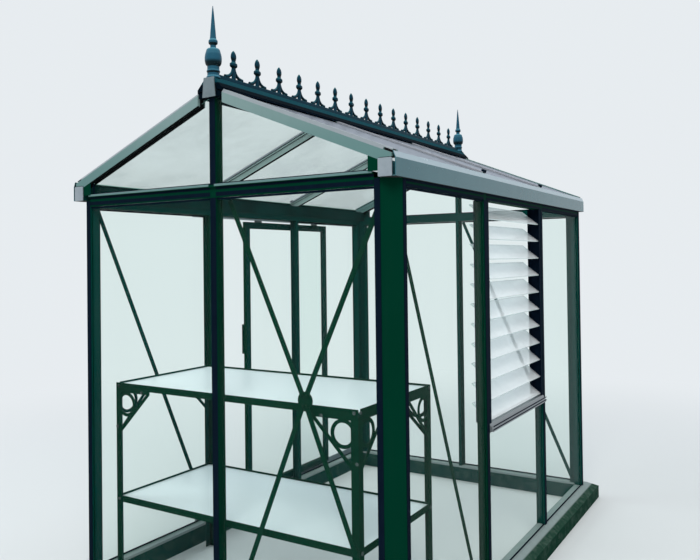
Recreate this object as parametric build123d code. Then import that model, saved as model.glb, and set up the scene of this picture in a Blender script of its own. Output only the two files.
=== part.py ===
from build123d import *
import os
from math import cos, radians, sin, sqrt, tan

# Glass greenhouse with cast ridge cresting, side louvre, sliding door and a two-tier staging.
# Millimetres. +X to the right along the gable, +Y away along the long walls, +Z up.
# The origin is on the ground, at the middle of the base frame.

# Walls: the bay is the distance between the middles of two posts
gable_bay = 730
side_bay = 740
gable_bays = 2
side_bays = 3
corner_offset = 18          # from the outer wall plane to the first bay line
eave_height = 1610          # underside of the eave beams and tie beams
roof_over_gutter = 84       # from the gutter's floor to the top of the roof bars, over the wall plane
roof_pitch = 22             # degrees

# Glass and its rebates
glass = 4
seat_gap = 0.3              # clearance each side of a pane
edge_gap = 2                # clearance at the edge of a pane
rebate_depth = 12
cap_thickness = 6           # metal outside the glass

# Posts and roof bars
bar_cap_width = 30
bar_neck = 6
bar_shoulder = 22
bar_shoulder_depth = 5
bar_web = 8
bar_depth = 42
bar_foot_width = 20
bar_foot = 4

# Corner posts
corner_chamfer = 50
corner_reach = 75
corner_depth = 42
corner_wall = 3

# Base frame and sill
base_height = 62
base_out = 60               # how far the base reaches outside the wall plane
base_in = 42
base_wall = 4
sill_top = 92
sill_wall = 3
sill_flat = 8
joint_gap = 0.3             # between mitred or butted lengths

# Tie beams over the gables
tie_height = 46
tie_depth = 42
tie_wall = 3
tie_ledge = 9
tie_ledge_height = 8

# Eave beams and gutters
eave_beam_height = 26
eave_beam_depth = 42
eave_beam_wall = 3
gutter_out = 12
gutter_width = 62
gutter_face = 58            # height of the upright face
gutter_band = 20            # height of the band that leans in above it
gutter_band_run = 8
gutter_back = 60            # height of the inner wall
gutter_wall = 3
gutter_overrun = 14         # past the gable plane
end_cap_width = 50
end_cap_thickness = 4
end_cap_round = 4
corner_plate_width = 38
corner_plate_thickness = 5

# Verge bars along the gable slopes
verge_out = 14
verge_width = 42
verge_height = 46
verge_band = 12             # height of the band that leans in above the upright face
verge_band_run = 10
verge_nose = 26
verge_slot = 30             # open slot at the low end
verge_slot_height = 8
verge_slot_rise = 4
roof_frame_depth = 26

# Ridge
ridge_rise = 24             # over the line where the roof planes meet
ridge_height = 72
ridge_half_width = 58
ridge_flat = 20
ridge_rebate = 36
ridge_flange = 6
ridge_wall = 3
ridge_cap_top = 24          # half width of the end cap
ridge_cap_foot = 31
ridge_cap_height = 72
ridge_cap_thickness = 4

# Cresting along the ridge
crest_pitch = 141.5
crest_start = 120           # first spike, from the front wall plane
crest_end = 100             # least space after the last spike
crest_height = 129
crest_thickness = 8
crest_rail = 9
crest_foot = 36             # half width of the curved foot under each spike
crest_foot_rise = 34
crest_hole = 7              # radius of the opening in the foot
crest_hole_height = 12
crest_stem = 8              # half width
crest_knop = 17             # half width
crest_knop_height = 71
crest_blade = 10.5          # half width

# Finials at both ends of the ridge, as heights over the ridge and radii
finial_inset = 8            # from the wall plane
finial_foot = (6, 24)
finial_pedestal = (44, 19)
finial_waist = (24, 18.5)
finial_ball = (78, 31)
finial_ball_half = 27
finial_collar = (112, 17)
finial_collar_height = 6
finial_neck = (127, 8.5)
finial_spire = (133, 16)
finial_shoulder = (178, 12.5)
finial_tip = (267, 1)

# Braces
brace_width = 18
brace_thickness = 4
brace_inset = 60            # ends, from the bay line
brace_plate = 60
brace_plate_thickness = 4
brace_centre_height = 900
brace_lift = 18             # lower ends, over the sill
brace_drop = 10             # upper ends, under the eave

# Louvre in the middle bay of the right wall
louvre_sill_height = 30
louvre_sill_gap = 11        # from the tip of the last slat to the sill
louvre_sill_out = 16
louvre_sill_lip = 5
louvre_slats = 11
louvre_pitch = 81
louvre_first_drop = 72      # from the eave to the outer tip of the top slat
louvre_blade = 100
louvre_blade_inset = 19     # tips, from the edge of the sill
louvre_thickness = 5
louvre_tilt = 38            # degrees from level
louvre_channel_width = 22
louvre_channel_depth = 57
louvre_channel_wall = 3

# Sliding door on the left wall, shown partly open
door_overlap = 25           # leaf past the doorway's post on each side
door_rest_offset = 352      # from closed to the position shown
door_sill_gap = 12          # under the leaf
door_track_gap = 10         # over the leaf
door_stile = 36
door_thickness = 20
door_clearance = 8          # between the wall plane and the leaf
door_glass_rebate = 10
door_track_height = 34
door_track_depth = 34
door_track_wall = 3
door_track_slot = 10
door_track_margin = 30
hanger_width = 60
hanger_over_axle = 3
hanger_thickness = 4
hanger_inset = 120
roller_radius = 11
roller_width = 8
roller_gap = 0.6
guide_wall = 3
guide_gap = 6                # between the leaf and the guide
guide_lap = 8
handle_height = 160
handle_centre = 950
handle_reach = 14
handle_bar = 8

# Staging inside, along the front gable
staging_left = -655
staging_right = 538
staging_front = 110         # from the front wall plane
staging_depth = 563
staging_upper = 873
staging_lower = 400
staging_recess = 8          # panels, under the top of their rim
staging_rim = 26
staging_rim_wall = 3
staging_ledge = 18
staging_leg = 30
staging_shelf = 4
staging_bracket = 195
staging_bracket_bar = 13
staging_bracket_ring = 10
staging_bracket_thickness = 4

# Derived places
half_width = (gable_bay * gable_bays + 2 * corner_offset) / 2
half_length = (side_bay * side_bays + 2 * corner_offset) / 2
gutter_bottom = eave_height + eave_beam_height
gutter_top = gutter_bottom + gutter_face + gutter_band
tie_top = eave_height + tie_height
roof_eave_height = gutter_bottom + roof_over_gutter
roof_tan = tan(radians(roof_pitch))
roof_cos = cos(radians(roof_pitch))
apex = roof_eave_height + half_width * roof_tan
glass_outer = cap_thickness + seat_gap
glass_inner = glass_outer + glass
shoulder_start = glass_inner + seat_gap
ridge_lip = ridge_half_width - rebate_depth / 2
ridge_top = apex + ridge_rise
ridge_bottom = ridge_top - ridge_height
ridge_end = half_length + verge_out
pane_eave_edge = half_width + gutter_out - gutter_band_run - gutter_wall - 2 * edge_gap
louvre_last = eave_height - louvre_first_drop - louvre_pitch * (louvre_slats - 1)
louvre_sill_top = louvre_last - louvre_sill_gap
louvre_sill = louvre_sill_top - louvre_sill_height
brace_bottom = sill_top + brace_lift
brace_top = eave_height - brace_drop
door_width = side_bay + 2 * door_overlap
door_travel = side_bay
door_bottom = sill_top + door_sill_gap
door_top = gutter_bottom - door_track_height - door_track_gap
crest_count = 1 + int((2 * half_length - crest_start - crest_end) / crest_pitch)
side_posts = [-half_length + corner_offset + side_bay * k for k in range(1, side_bays)]


def roof_height(x, normal=0.0):
    """Height of the roof's outer plane at x, moved by normal along its own normal."""
    return apex - abs(x) * roof_tan + normal / roof_cos


def polygon(points):
    return make_face(Polyline(*points, close=True))


def extrude_from(points, origin, x_dir, z_dir, length):
    """A profile drawn in the plane at origin, pushed by length along z_dir."""
    plane = Plane(origin=origin, x_dir=x_dir, z_dir=z_dir)
    return extrude(plane * polygon(points), amount=length, dir=z_dir)


def box_between(low, high):
    size = [b - a for a, b in zip(low, high)]
    middle = [(a + b) / 2 for a, b in zip(low, high)]
    return Pos(*middle) * Box(*size)


def down_slope(points, x, y, length):
    """A profile across the right slope, (inward along Y, normal), pushed down the slope from x."""
    along = (roof_cos, 0, -sin(radians(roof_pitch)))
    return extrude_from(points, (x, y, roof_height(x)), (0, 1, 0), along, length)


def mirrored_x(shape):
    return mirror(shape, about=Plane.YZ)


def mirrored_y(shape):
    return mirror(shape, about=Plane.XZ)


def four_corners(shape):
    """The piece at the front right corner, then front left, rear right and rear left."""
    return [shape, mirrored_x(shape), mirrored_y(shape), mirrored_x(mirrored_y(shape))]


# Glazing bar: cap outside, neck between the panes, shoulder, web and inner foot.
# Drawn with the outer plane at y = 0 and the inside towards -y.
def bar_section():
    cap = bar_cap_width / 2
    neck = bar_neck / 2
    shoulder = bar_shoulder / 2
    web = bar_web / 2
    foot = bar_foot_width / 2
    shoulder_end = shoulder_start + bar_shoulder_depth
    half = [
        (cap, 0),
        (cap, -cap_thickness),
        (neck, -cap_thickness),
        (neck, -shoulder_start),
        (shoulder, -shoulder_start),
        (shoulder, -shoulder_end),
        (web, -shoulder_end),
        (web, -bar_depth + bar_foot),
        (foot, -bar_depth + bar_foot),
        (foot, -bar_depth),
    ]
    return half + [(-x, y) for x, y in reversed(half)]


def wall_bar(x, y, outward, bottom, top):
    """Upright bar whose outer plane passes through (x, y)."""
    return extrude_from(
        bar_section(),
        (x, y, bottom),
        (outward[1], -outward[0], 0),
        (0, 0, 1),
        top - bottom,
    )


# Corner post: hollow, with a broad chamfered face and a rebated flank on each wall
def corner_post_sections():
    reach = corner_reach
    cut = corner_reach - rebate_depth
    outer = [
        (reach, 0),
        (corner_chamfer, 0),
        (0, corner_chamfer),
        (0, reach),
        (cap_thickness, reach),
        (cap_thickness, cut),
        (shoulder_start, cut),
        (shoulder_start, reach),
        (corner_depth, reach),
        (corner_depth, corner_depth),
        (reach, corner_depth),
        (reach, shoulder_start),
        (cut, shoulder_start),
        (cut, cap_thickness),
        (reach, cap_thickness),
    ]
    near = corner_wall
    far = corner_depth - corner_wall
    end = cut - corner_wall
    bend = corner_chamfer + corner_wall * (sqrt(2) - 1)
    hollow = [(end, near), (bend, near), (near, bend), (near, end), (far, end), (far, far), (end, far)]
    return outer, hollow


def corner_post():
    """The post at the front right corner."""
    outer, hollow = corner_post_sections()
    height = gutter_bottom - sill_top
    origin = (half_width, -half_length, sill_top)
    solid = extrude_from([(y, x) for x, y in outer], origin, (0, 1, 0), (0, 0, 1), height)
    core = extrude_from([(y, x) for x, y in hollow], origin, (0, 1, 0), (0, 0, 1), height)
    return solid - core


# Base frame: four mitred box lengths, with a sloping sill over them
def base_length(along, across, profile):
    """A length on the +X side, mitred at 45 degrees at both ends."""
    reach = along + base_out
    straight = extrude_from(profile, (across, reach, 0), (1, 0, 0), (0, -1, 0), 2 * reach)
    out = base_out - joint_gap
    back = base_in + joint_gap
    plan = polygon([
        (across - base_in, -along + back),
        (across + base_out, -along - out),
        (across + base_out, along + out),
        (across - base_in, along - back),
    ])
    return straight & extrude(plan, amount=2 * sill_top)


def base_section():
    return [(-base_in, 0), (base_out, 0), (base_out, base_height), (-base_in, base_height)]


def base_core():
    t = base_wall
    inner = t - base_in
    outer = base_out - t
    return [(inner, t), (outer, t), (outer, base_height - t), (inner, base_height - t)]


def sill_section():
    low = base_height
    edge = base_height + sill_wall
    return [
        (-base_in, low),
        (base_out, low),
        (base_out, edge),
        (sill_flat, sill_top),
        (-base_in, sill_top),
    ]


def sill_core():
    t = sill_wall
    drop = sill_top - base_height - sill_wall
    run = base_out - sill_flat
    lean = sqrt(drop * drop + run * run)
    low = base_height + t
    high = sill_top - t
    low_out = base_out - t * lean / drop
    high_out = low_out - (high - low) * run / drop
    return [(t - base_in, low), (low_out, low), (high_out, high), (t - base_in, high)]


def base_side(section, core=None):
    solid = base_length(half_length, half_width, section)
    if core:
        solid = solid - base_length(half_length + base_out, half_width, core)
    return solid


def base_gable(section, core=None):
    solid = base_length(half_width, half_length, section)
    if core:
        solid = solid - base_length(half_width + base_out, half_length, core)
    return Rot(0, 0, -90) * solid


# Tie beam over the front wall, between the corner posts
def tie_beam():
    reach = half_width - corner_reach - joint_gap
    outer = [
        (0, eave_height),
        (0, tie_top - tie_ledge_height),
        (tie_ledge, tie_top - tie_ledge_height),
        (tie_ledge, tie_top),
        (-tie_depth, tie_top),
        (-tie_depth, eave_height),
    ]
    t = tie_wall
    low = eave_height + t
    high = tie_top - t
    core = [(-t, low), (-t, high), (t - tie_depth, high), (t - tie_depth, low)]
    origin = (reach, -half_length, 0)
    solid = extrude_from(outer, origin, (0, -1, 0), (-1, 0, 0), 2 * reach)
    return solid - extrude_from(core, origin, (0, -1, 0), (-1, 0, 0), 2 * reach)


# Eave beam and gutter of the right side
def eave_beam():
    reach = half_length - corner_reach - joint_gap
    low = eave_height
    high = gutter_bottom
    t = eave_beam_wall
    inner = half_width - eave_beam_depth
    outer = box_between((inner, -reach, low), (half_width, reach, high))
    core = box_between((inner + t, -half_length, low + t), (half_width - t, half_length, high - t))
    return outer - core


def gutter_outline():
    """Outer face of the gutter from its floor up, then the band that leans in."""
    low = gutter_bottom
    face = low + gutter_face
    return [(gutter_out, low), (gutter_out, face), (gutter_out - gutter_band_run, gutter_top)]


def gutter():
    t = gutter_wall
    inner = gutter_out - gutter_width
    floor = gutter_bottom + t
    out, face, band = gutter_outline()
    section = [
        out,
        face,
        band,
        (band[0] - t, band[1]),
        (face[0] - t, face[1]),
        (out[0] - t, floor),
        (inner + t, floor),
        (inner + t, gutter_bottom + gutter_back),
        (inner, gutter_bottom + gutter_back),
        (inner, gutter_bottom),
    ]
    reach = half_length + gutter_overrun
    return extrude_from(section, (half_width, reach, 0), (1, 0, 0), (0, -1, 0), 2 * reach)


def gutter_end_cap():
    front = -half_length - gutter_overrun - end_cap_thickness
    inner = half_width + gutter_out - gutter_width
    cap = box_between(
        (inner, front, gutter_bottom),
        (inner + end_cap_width, front + end_cap_thickness - joint_gap, gutter_bottom + gutter_face),
    )
    return fillet(cap.edges().filter_by(Axis.Y), end_cap_round)


def corner_plate():
    """Plate that closes the gable between the tie, the verge and the gutter."""
    inner = half_width + gutter_out - gutter_width - joint_gap
    left = inner - corner_plate_width
    front = -half_length - verge_out
    low = tie_top
    points = [
        (left, low),
        (inner, low),
        (inner, roof_height(inner, -verge_height - joint_gap)),
        (left, roof_height(left, -verge_height - joint_gap)),
    ]
    back = front + corner_plate_thickness
    return extrude_from(points, (0, back, 0), (1, 0, 0), (0, -1, 0), corner_plate_thickness)


def gutter_space(low_y, high_y):
    """Room for the gutter and its end cap under the low ends of the roof's bars."""
    inner = half_width + gutter_out - gutter_width - joint_gap
    high = gutter_bottom + gutter_back + joint_gap
    return box_between((inner, low_y, 0), (half_width + gutter_width, high_y, high))


# Verge bar: carries the roof edge and the gable glass; section across the slope
def verge_bar():
    out = verge_out
    rebate = verge_width - out - rebate_depth
    wide = verge_width - out
    section = [
        (verge_band_run - out, 0),
        (wide, 0),
        (wide, -cap_thickness),
        (rebate, -cap_thickness),
        (rebate, -shoulder_start),
        (wide, -shoulder_start),
        (wide, -roof_frame_depth),
        (verge_nose, -roof_frame_depth),
        (verge_nose, -verge_height),
        (shoulder_start, -verge_height),
        (shoulder_start, rebate_depth - verge_height),
        (cap_thickness, rebate_depth - verge_height),
        (cap_thickness, -verge_height),
        (-out, -verge_height),
        (-out, -verge_band),
    ]
    high_x = ridge_half_width + joint_gap
    front = -half_length - 2 * out
    back = -half_length + 2 * verge_width
    bar = down_slope(section, 0, -half_length, (half_width + verge_height) / roof_cos)
    bar = bar & box_between((high_x, front, 0), (pane_eave_edge, back, ridge_top))
    bar = bar - gutter_space(front, back)
    slot_x = pane_eave_edge - verge_slot
    slot = box_between((slot_x, front, 0), (half_width + gutter_width, -half_length, ridge_top))
    return bar - (slot & verge_slot_bar())


def verge_slot_bar():
    low = -verge_slot_rise - verge_slot_height
    section = [
        (-2 * verge_out, -verge_slot_rise),
        (0, -verge_slot_rise),
        (0, low),
        (-2 * verge_out, low),
    ]
    return down_slope(section, 0, -half_length, (half_width + verge_height) / roof_cos)


# Roof bar of the right slope at one bay line
def roof_bar(y):
    bar = down_slope(bar_section(), 0, y, (half_width + bar_depth) / roof_cos)
    low = y - bar_depth
    high = y + bar_depth
    keep = box_between((ridge_half_width + joint_gap, low, 0), (pane_eave_edge, high, ridge_top))
    return (bar & keep) - gutter_space(low, high)


# Ridge beam with a rebate for the top edges of the roof panes
def ridge_beam():
    wide = ridge_half_width
    lip = ridge_lip
    half = [
        (ridge_flat, ridge_top),
        (wide, roof_height(wide, ridge_flange)),
        (wide, roof_height(wide, -cap_thickness)),
        (ridge_rebate, roof_height(ridge_rebate, -cap_thickness)),
        (ridge_rebate, roof_height(ridge_rebate, -shoulder_start)),
        (lip, roof_height(lip, -shoulder_start)),
        (lip, roof_height(lip, -roof_frame_depth)),
        (ridge_flat, ridge_bottom),
    ]
    t = ridge_wall
    inner = ridge_rebate - t
    core = [
        (ridge_flat - t, ridge_top - t),
        (inner, roof_height(inner, ridge_flange - t)),
        (inner, roof_height(inner, t - roof_frame_depth)),
        (ridge_flat - t, ridge_bottom + t),
    ]
    solid = ridge_length(half, ridge_end)
    return solid - ridge_length(core, ridge_end)


def ridge_length(half, reach):
    section = half + [(-x, z) for x, z in reversed(half)]
    return extrude_from(section, (0, reach, 0), (1, 0, 0), (0, -1, 0), 2 * reach)


def ridge_end_cap():
    """Plate over the front end of the ridge beam."""
    low = ridge_top - ridge_cap_height
    points = [
        (-ridge_cap_foot, low),
        (ridge_cap_foot, low),
        (ridge_cap_top, ridge_top),
        (-ridge_cap_top, ridge_top),
    ]
    return extrude_from(points, (0, -ridge_end - joint_gap, 0), (1, 0, 0), (0, -1, 0), ridge_cap_thickness)


# Glass
def pane(points, origin, x_dir, z_dir):
    return extrude_from(points, origin, x_dir, z_dir, glass)


def wall_pane(low, high, bottom, top):
    """Upright pane of the right wall, between two places along Y."""
    x = half_width - glass_outer
    return box_between((x - glass, low, bottom), (x, high, top))


def side_edges(bay):
    """Edges of the pane in one bay of a long wall, between its post necks."""
    inset = bar_neck / 2 + edge_gap
    corner = corner_reach - rebate_depth + edge_gap
    low = -half_length + corner if bay == 0 else side_posts[bay - 1] + inset
    high = half_length - corner if bay == side_bays - 1 else side_posts[bay] - inset
    return low, high


def side_pane(bay, bottom, top):
    low, high = side_edges(bay)
    return wall_pane(low, high, bottom, top)


def gable_wall_pane():
    """Right lower pane of the front gable."""
    y = -half_length + glass_outer
    low = bar_neck / 2 + edge_gap
    high = half_width - corner_reach + rebate_depth - edge_gap
    return box_between((low, y, sill_top + seat_gap), (high, y + glass, eave_height - seat_gap))


def gable_top_pane():
    """Right pane of the gable triangle."""
    y = -half_length + glass_inner
    low = bar_neck / 2 + edge_gap
    high = half_width + gutter_out - gutter_width - corner_plate_width
    inside = rebate_depth - edge_gap - verge_height
    bottom = tie_top + seat_gap
    top = min(ridge_bottom, roof_height(ridge_lip, -roof_frame_depth)) - seat_gap
    left_top = roof_height(low, inside)
    right_top = roof_height(high, inside)
    points = [(low, bottom), (high, bottom), (high, right_top), (low, left_top)]
    whole = pane(points, (0, y, 0), (1, 0, 0), (0, -1, 0))
    return whole & box_between((low, -half_length, bottom), (high, 0, top))


def roof_pane(bay):
    """Pane of the right slope in one bay."""
    inset = bar_neck / 2 + edge_gap
    edge = verge_width - verge_out - rebate_depth + edge_gap
    low = -half_length + edge if bay == 0 else side_posts[bay - 1] + inset
    high = half_length - edge if bay == side_bays - 1 else side_posts[bay] - inset
    bottom_x = pane_eave_edge
    top_x = ridge_rebate + edge_gap + glass_inner * sin(radians(roof_pitch))
    section = [(low, -glass_outer), (high, -glass_outer), (high, -glass_inner), (low, -glass_inner)]
    return down_slope(section, top_x, 0, (bottom_x - top_x) / roof_cos)


# Ridge cresting: a rail with a pierced, curved foot and a spike on it at every pitch
def crest_places():
    return [-half_length + crest_start + crest_pitch * k for k in range(crest_count)]


def crest_rail_bar():
    places = crest_places()
    half = crest_thickness / 2
    low = places[0] - crest_pitch / 2
    high = places[-1] + crest_pitch / 2
    return box_between((-half, low, ridge_top + seat_gap), (half, high, ridge_top + crest_rail))


def crest_spike(y):
    """Pierced foot with hollow curves, stem, knop with side lobes and a pointed blade."""
    foot = ridge_top + crest_rail + seat_gap
    knop = ridge_top + crest_knop_height
    tip = ridge_top + crest_height
    blade = knop + (tip - knop) / 2
    lobe = crest_knop / 2
    half = [
        (crest_stem, foot),
        (crest_stem, knop - 2 * lobe),
        (crest_knop, knop - lobe / 2),
        (crest_knop, knop + lobe / 2),
        (crest_stem, knop + lobe),
        (crest_blade, blade),
        (crest_stem / 2, tip - crest_stem / 2),
    ]
    points = half + [(0, tip)] + [(-a, b) for a, b in reversed(half)]
    sketch = polygon(points) + crest_foot_sketch(foot)
    sketch = sketch - Pos(0, foot + crest_hole_height) * Circle(crest_hole)
    plane = Plane(origin=(-crest_thickness / 2, y, 0), x_dir=(0, 1, 0), z_dir=(1, 0, 0))
    return extrude(plane * sketch, amount=crest_thickness)


def crest_foot_sketch(foot):
    """Foot as wide as twice crest_foot, drawn in to the stem by a hollow curve on each side."""
    top = foot + crest_foot_rise
    hollow = crest_stem + 0.3 * (crest_foot - crest_stem)
    middle = foot + 0.3 * crest_foot_rise
    edge = foot + edge_gap
    base = Polyline((-crest_foot, edge), (-crest_foot, foot), (crest_foot, foot), (crest_foot, edge))
    right = ThreePointArc((crest_foot, edge), (hollow, middle), (crest_stem, top))
    across = Line((crest_stem, top), (-crest_stem, top))
    left = ThreePointArc((-crest_stem, top), (-hollow, middle), (-crest_foot, edge))
    return make_face([*base.edges(), right, across, left])


def cresting():
    return [crest_rail_bar()] + [crest_spike(y) for y in crest_places()]


# Finial: foot, waisted pedestal, flattened ball, collar, neck and a long spire
def finial(y):
    def at(place):
        return place[1], place[0]

    ball_low = finial_ball[0] - finial_ball_half
    ball_high = finial_ball[0] + finial_ball_half
    collar = finial_collar[1]
    lower = Polyline(
        (0, seat_gap),
        (finial_foot[1], seat_gap),
        at(finial_foot),
        at(finial_waist),
        at(finial_pedestal),
        (finial_pedestal[1], ball_low),
    )
    bulge = ThreePointArc((finial_pedestal[1], ball_low), at(finial_ball), (collar, ball_high))
    upper = Polyline(
        (collar, ball_high),
        (collar, finial_collar[0]),
        (finial_neck[1], finial_collar[0]),
        at(finial_neck),
        at(finial_spire),
        at(finial_shoulder),
        at(finial_tip),
        (0, finial_tip[0]),
        (0, seat_gap),
    )
    face = make_face([*lower.edges(), bulge, *upper.edges()])
    turned = revolve(Plane.XZ * face, axis=Axis.Z)
    return Pos(0, y, ridge_top) * turned


# Braces: flat bars inside the glass
def flat_bar(start, end, plane_origin, x_dir, z_dir):
    """Flat bar between two points of an upright plane."""
    dx = end[0] - start[0]
    dy = end[1] - start[1]
    length = sqrt(dx * dx + dy * dy)
    nx = -dy / length * brace_width / 2
    ny = dx / length * brace_width / 2
    points = [
        (start[0] + nx, start[1] + ny),
        (end[0] + nx, end[1] + ny),
        (end[0] - nx, end[1] - ny),
        (start[0] - nx, start[1] - ny),
    ]
    return extrude_from(points, plane_origin, x_dir, z_dir, brace_thickness)


def brace_frame_gable():
    return (0, -half_length + bar_depth + brace_thickness + joint_gap, 0), (1, 0, 0), (0, -1, 0)


def front_brace_arms():
    left = brace_inset - corner_offset
    right = half_width - brace_inset
    centre = ((left + right) / 2, brace_centre_height)
    clear = brace_plate / 2 - brace_width / 2
    arms = []
    for x, z in ((left, brace_top), (right, brace_top), (left, brace_bottom), (right, brace_bottom)):
        dx = x - centre[0]
        dz = z - centre[1]
        length = sqrt(dx * dx + dz * dz)
        start = (centre[0] + dx / length * clear, centre[1] + dz / length * clear)
        arms.append(flat_bar(start, (x, z), *brace_frame_gable()))
    return arms


def front_brace_plate():
    left = brace_inset - corner_offset
    right = half_width - brace_inset
    middle = (left + right) / 2
    thickness = brace_plate_thickness
    y = -half_length + bar_depth + brace_thickness + 2 * joint_gap + thickness / 2
    return Pos(middle, y, brace_centre_height) * Rot(90, 0, 0) * Cylinder(brace_plate / 2, thickness)


def rear_brace():
    left = brace_inset - corner_offset
    right = half_width - brace_inset
    return mirrored_y(flat_bar((left, brace_top), (right, brace_bottom), *brace_frame_gable()))


def side_brace():
    """Brace of the near bay of the right wall, from the corner post to the first post."""
    start = (-half_length + brace_inset, brace_top)
    end = (side_posts[0] - brace_inset + corner_offset, brace_bottom)
    origin = (half_width - bar_depth - brace_thickness - joint_gap, 0, 0)
    return flat_bar(start, end, origin, (0, 1, 0), (1, 0, 0))


# Louvre
def louvre_edges():
    inset = bar_cap_width / 2 + joint_gap
    return side_posts[0] + inset, side_posts[1] - inset


def louvre_sill_rail():
    low, high = louvre_edges()
    out = half_width + louvre_sill_out
    back = half_width - bar_depth
    top = louvre_sill_top
    section = [
        (back, louvre_sill),
        (out, louvre_sill),
        (out, louvre_sill + louvre_sill_lip),
        (half_width, top),
        (back, top),
    ]
    sill = extrude_from(section, (0, high, 0), (1, 0, 0), (0, -1, 0), high - low)
    rebate = box_between(
        (half_width - shoulder_start, low - joint_gap, 0),
        (half_width - cap_thickness, high + joint_gap, louvre_sill + rebate_depth),
    )
    return sill - rebate


def louvre_channels():
    low, high = louvre_edges()
    depth = louvre_channel_depth
    t = louvre_channel_wall
    bottom = louvre_sill_top
    parts = []
    for side, y in ((1, low), (-1, high)):
        far = y + side * louvre_channel_width
        outer = box_between(
            (half_width - depth, min(y, far), bottom + joint_gap),
            (half_width, max(y, far), eave_height - joint_gap),
        )
        inner = y + side * t
        beyond = far + side * t
        core = box_between(
            (half_width - depth + t, min(inner, beyond), bottom),
            (half_width - t, max(inner, beyond), eave_height),
        )
        parts.append(outer - core)
    return parts


def louvre_blades():
    low, high = louvre_edges()
    blades = []
    tilt = radians(louvre_tilt)
    x_out = half_width + louvre_sill_out - louvre_blade_inset
    for k in range(louvre_slats):
        tip = louvre_last + louvre_pitch * k
        inner = (x_out - louvre_blade * cos(tilt), tip + louvre_blade * sin(tilt))
        nx = louvre_thickness * sin(tilt)
        nz = louvre_thickness * cos(tilt)
        points = [(x_out, tip), inner, (inner[0] - nx, inner[1] - nz), (x_out - nx, tip - nz)]
        near = low + louvre_channel_width + joint_gap
        far = high - louvre_channel_width - joint_gap
        blades.append(extrude_from(points, (0, far, 0), (1, 0, 0), (0, -1, 0), far - near))
    return blades


# Sliding door, outside the left wall; drawn at the position shown in use
def door_low():
    return side_posts[0] - door_overlap + door_rest_offset


def door_plane():
    return -half_width - door_clearance


def door_frame():
    """Two stiles with the rails butted between them, all rebated for the pane."""
    low = door_low()
    high = low + door_width
    x = door_plane()
    back = x - door_thickness
    middle = x - door_thickness / 2
    half = glass / 2 + seat_gap
    edge = door_stile - door_glass_rebate
    rebate = box_between(
        (middle - half, low + edge, door_bottom + edge),
        (middle + half, high - edge, door_top - edge),
    )
    inner_low = low + door_stile + joint_gap
    inner_high = high - door_stile - joint_gap
    lengths = [
        box_between((back, low, door_bottom), (x, low + door_stile, door_top)),
        box_between((back, high - door_stile, door_bottom), (x, high, door_top)),
        box_between((back, inner_low, door_bottom), (x, inner_high, door_bottom + door_stile)),
        box_between((back, inner_low, door_top - door_stile), (x, inner_high, door_top)),
    ]
    return [length - rebate for length in lengths]


def door_pane():
    low = door_low()
    high = low + door_width
    middle = door_plane() - door_thickness / 2
    edge = door_stile - door_glass_rebate + edge_gap
    return box_between(
        (middle - glass / 2, low + edge, door_bottom + edge),
        (middle + glass / 2, high - edge, door_top - edge),
    )


def track_centre():
    return door_plane() - door_thickness / 2


def track_span():
    low = side_posts[0] - door_overlap - door_track_margin
    high = low + door_travel + door_width + 2 * door_track_margin
    return low, high


def track_bottom():
    return gutter_bottom - door_track_height


def door_track():
    """Channel with a slot below, screwed to the eave beam."""
    low, high = track_span()
    middle = track_centre()
    half = door_track_depth / 2
    t = door_track_wall
    bottom = track_bottom()
    top = gutter_bottom - joint_gap
    slot = door_track_slot / 2
    outer = box_between((middle - half, low, bottom), (-half_width - joint_gap, high, top))
    core = box_between((middle - half + t, low - t, bottom + t), (middle + half - t, high + t, top - t))
    cut = box_between((middle - slot, low - t, bottom - t), (middle + slot, high + t, bottom + 2 * t))
    return outer - core - cut


def door_hangers():
    low = door_low()
    middle = track_centre()
    half = hanger_thickness / 2
    axle = track_bottom() + door_track_wall + roller_radius + roller_gap
    parts = []
    for y in (low + hanger_inset, low + door_width - hanger_inset):
        hanger = box_between(
            (middle - half, y - hanger_width / 2, door_top),
            (middle + half, y + hanger_width / 2, axle + hanger_over_axle),
        )
        for side in (-1, 1):
            roller = Rot(0, 90, 0) * Cylinder(roller_radius, roller_width)
            hanger = hanger + Pos(middle + side * (half + roller_width / 2), y, axle) * roller
        parts.append(hanger)
    return parts


def door_handle():
    x = door_plane() - door_thickness
    y = door_low() + door_stile / 2
    low = handle_centre - handle_height / 2
    high = handle_centre + handle_height / 2
    out = x - handle_reach
    foot = 2 * handle_bar
    handle = box_between((out - handle_bar, y - handle_bar, low), (out, y + handle_bar, high))
    for start in (low, high - foot):
        handle = handle + box_between((out, y - handle_bar, start), (x, y + handle_bar, start + foot))
    return handle


def sill_slope(out):
    """Height of the sill's face at a distance outside the wall plane."""
    drop = sill_top - base_height - sill_wall
    return sill_top - drop * (out - sill_flat) / (base_out - sill_flat)


def door_guide():
    """Angle on the sill that keeps the foot of the leaf in line."""
    low, high = track_span()
    t = guide_wall
    inner = door_clearance + door_thickness + guide_gap
    outer = inner + t
    start = sill_flat + joint_gap
    top = door_bottom + guide_lap
    section = [
        (-start, sill_slope(start) + joint_gap),
        (-outer, sill_slope(outer) + joint_gap),
        (-outer, top),
        (-inner, top),
        (-inner, sill_slope(inner) + joint_gap + t),
        (-start, sill_slope(start) + joint_gap + t),
    ]
    return extrude_from(section, (-half_width, high, 0), (1, 0, 0), (0, -1, 0), high - low)


# Staging
def bracket_sketch():
    """Triangle of three bars with a ring that touches them all."""
    size = staging_bracket
    bar = staging_bracket_bar
    far = size - sqrt(2) * bar
    touch = (far - bar) * (1 - sqrt(0.5))
    outer = polygon([(0, 0), (size, 0), (size, -bar), (bar, -size), (0, -size)])
    middle = Pos(bar + touch, -bar - touch)
    ring = middle * Circle(touch + bar / 4) - middle * Circle(touch - staging_bracket_ring)
    return outer - polygon([(bar, -bar), (far, -bar), (bar, -far)]) + ring


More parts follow.
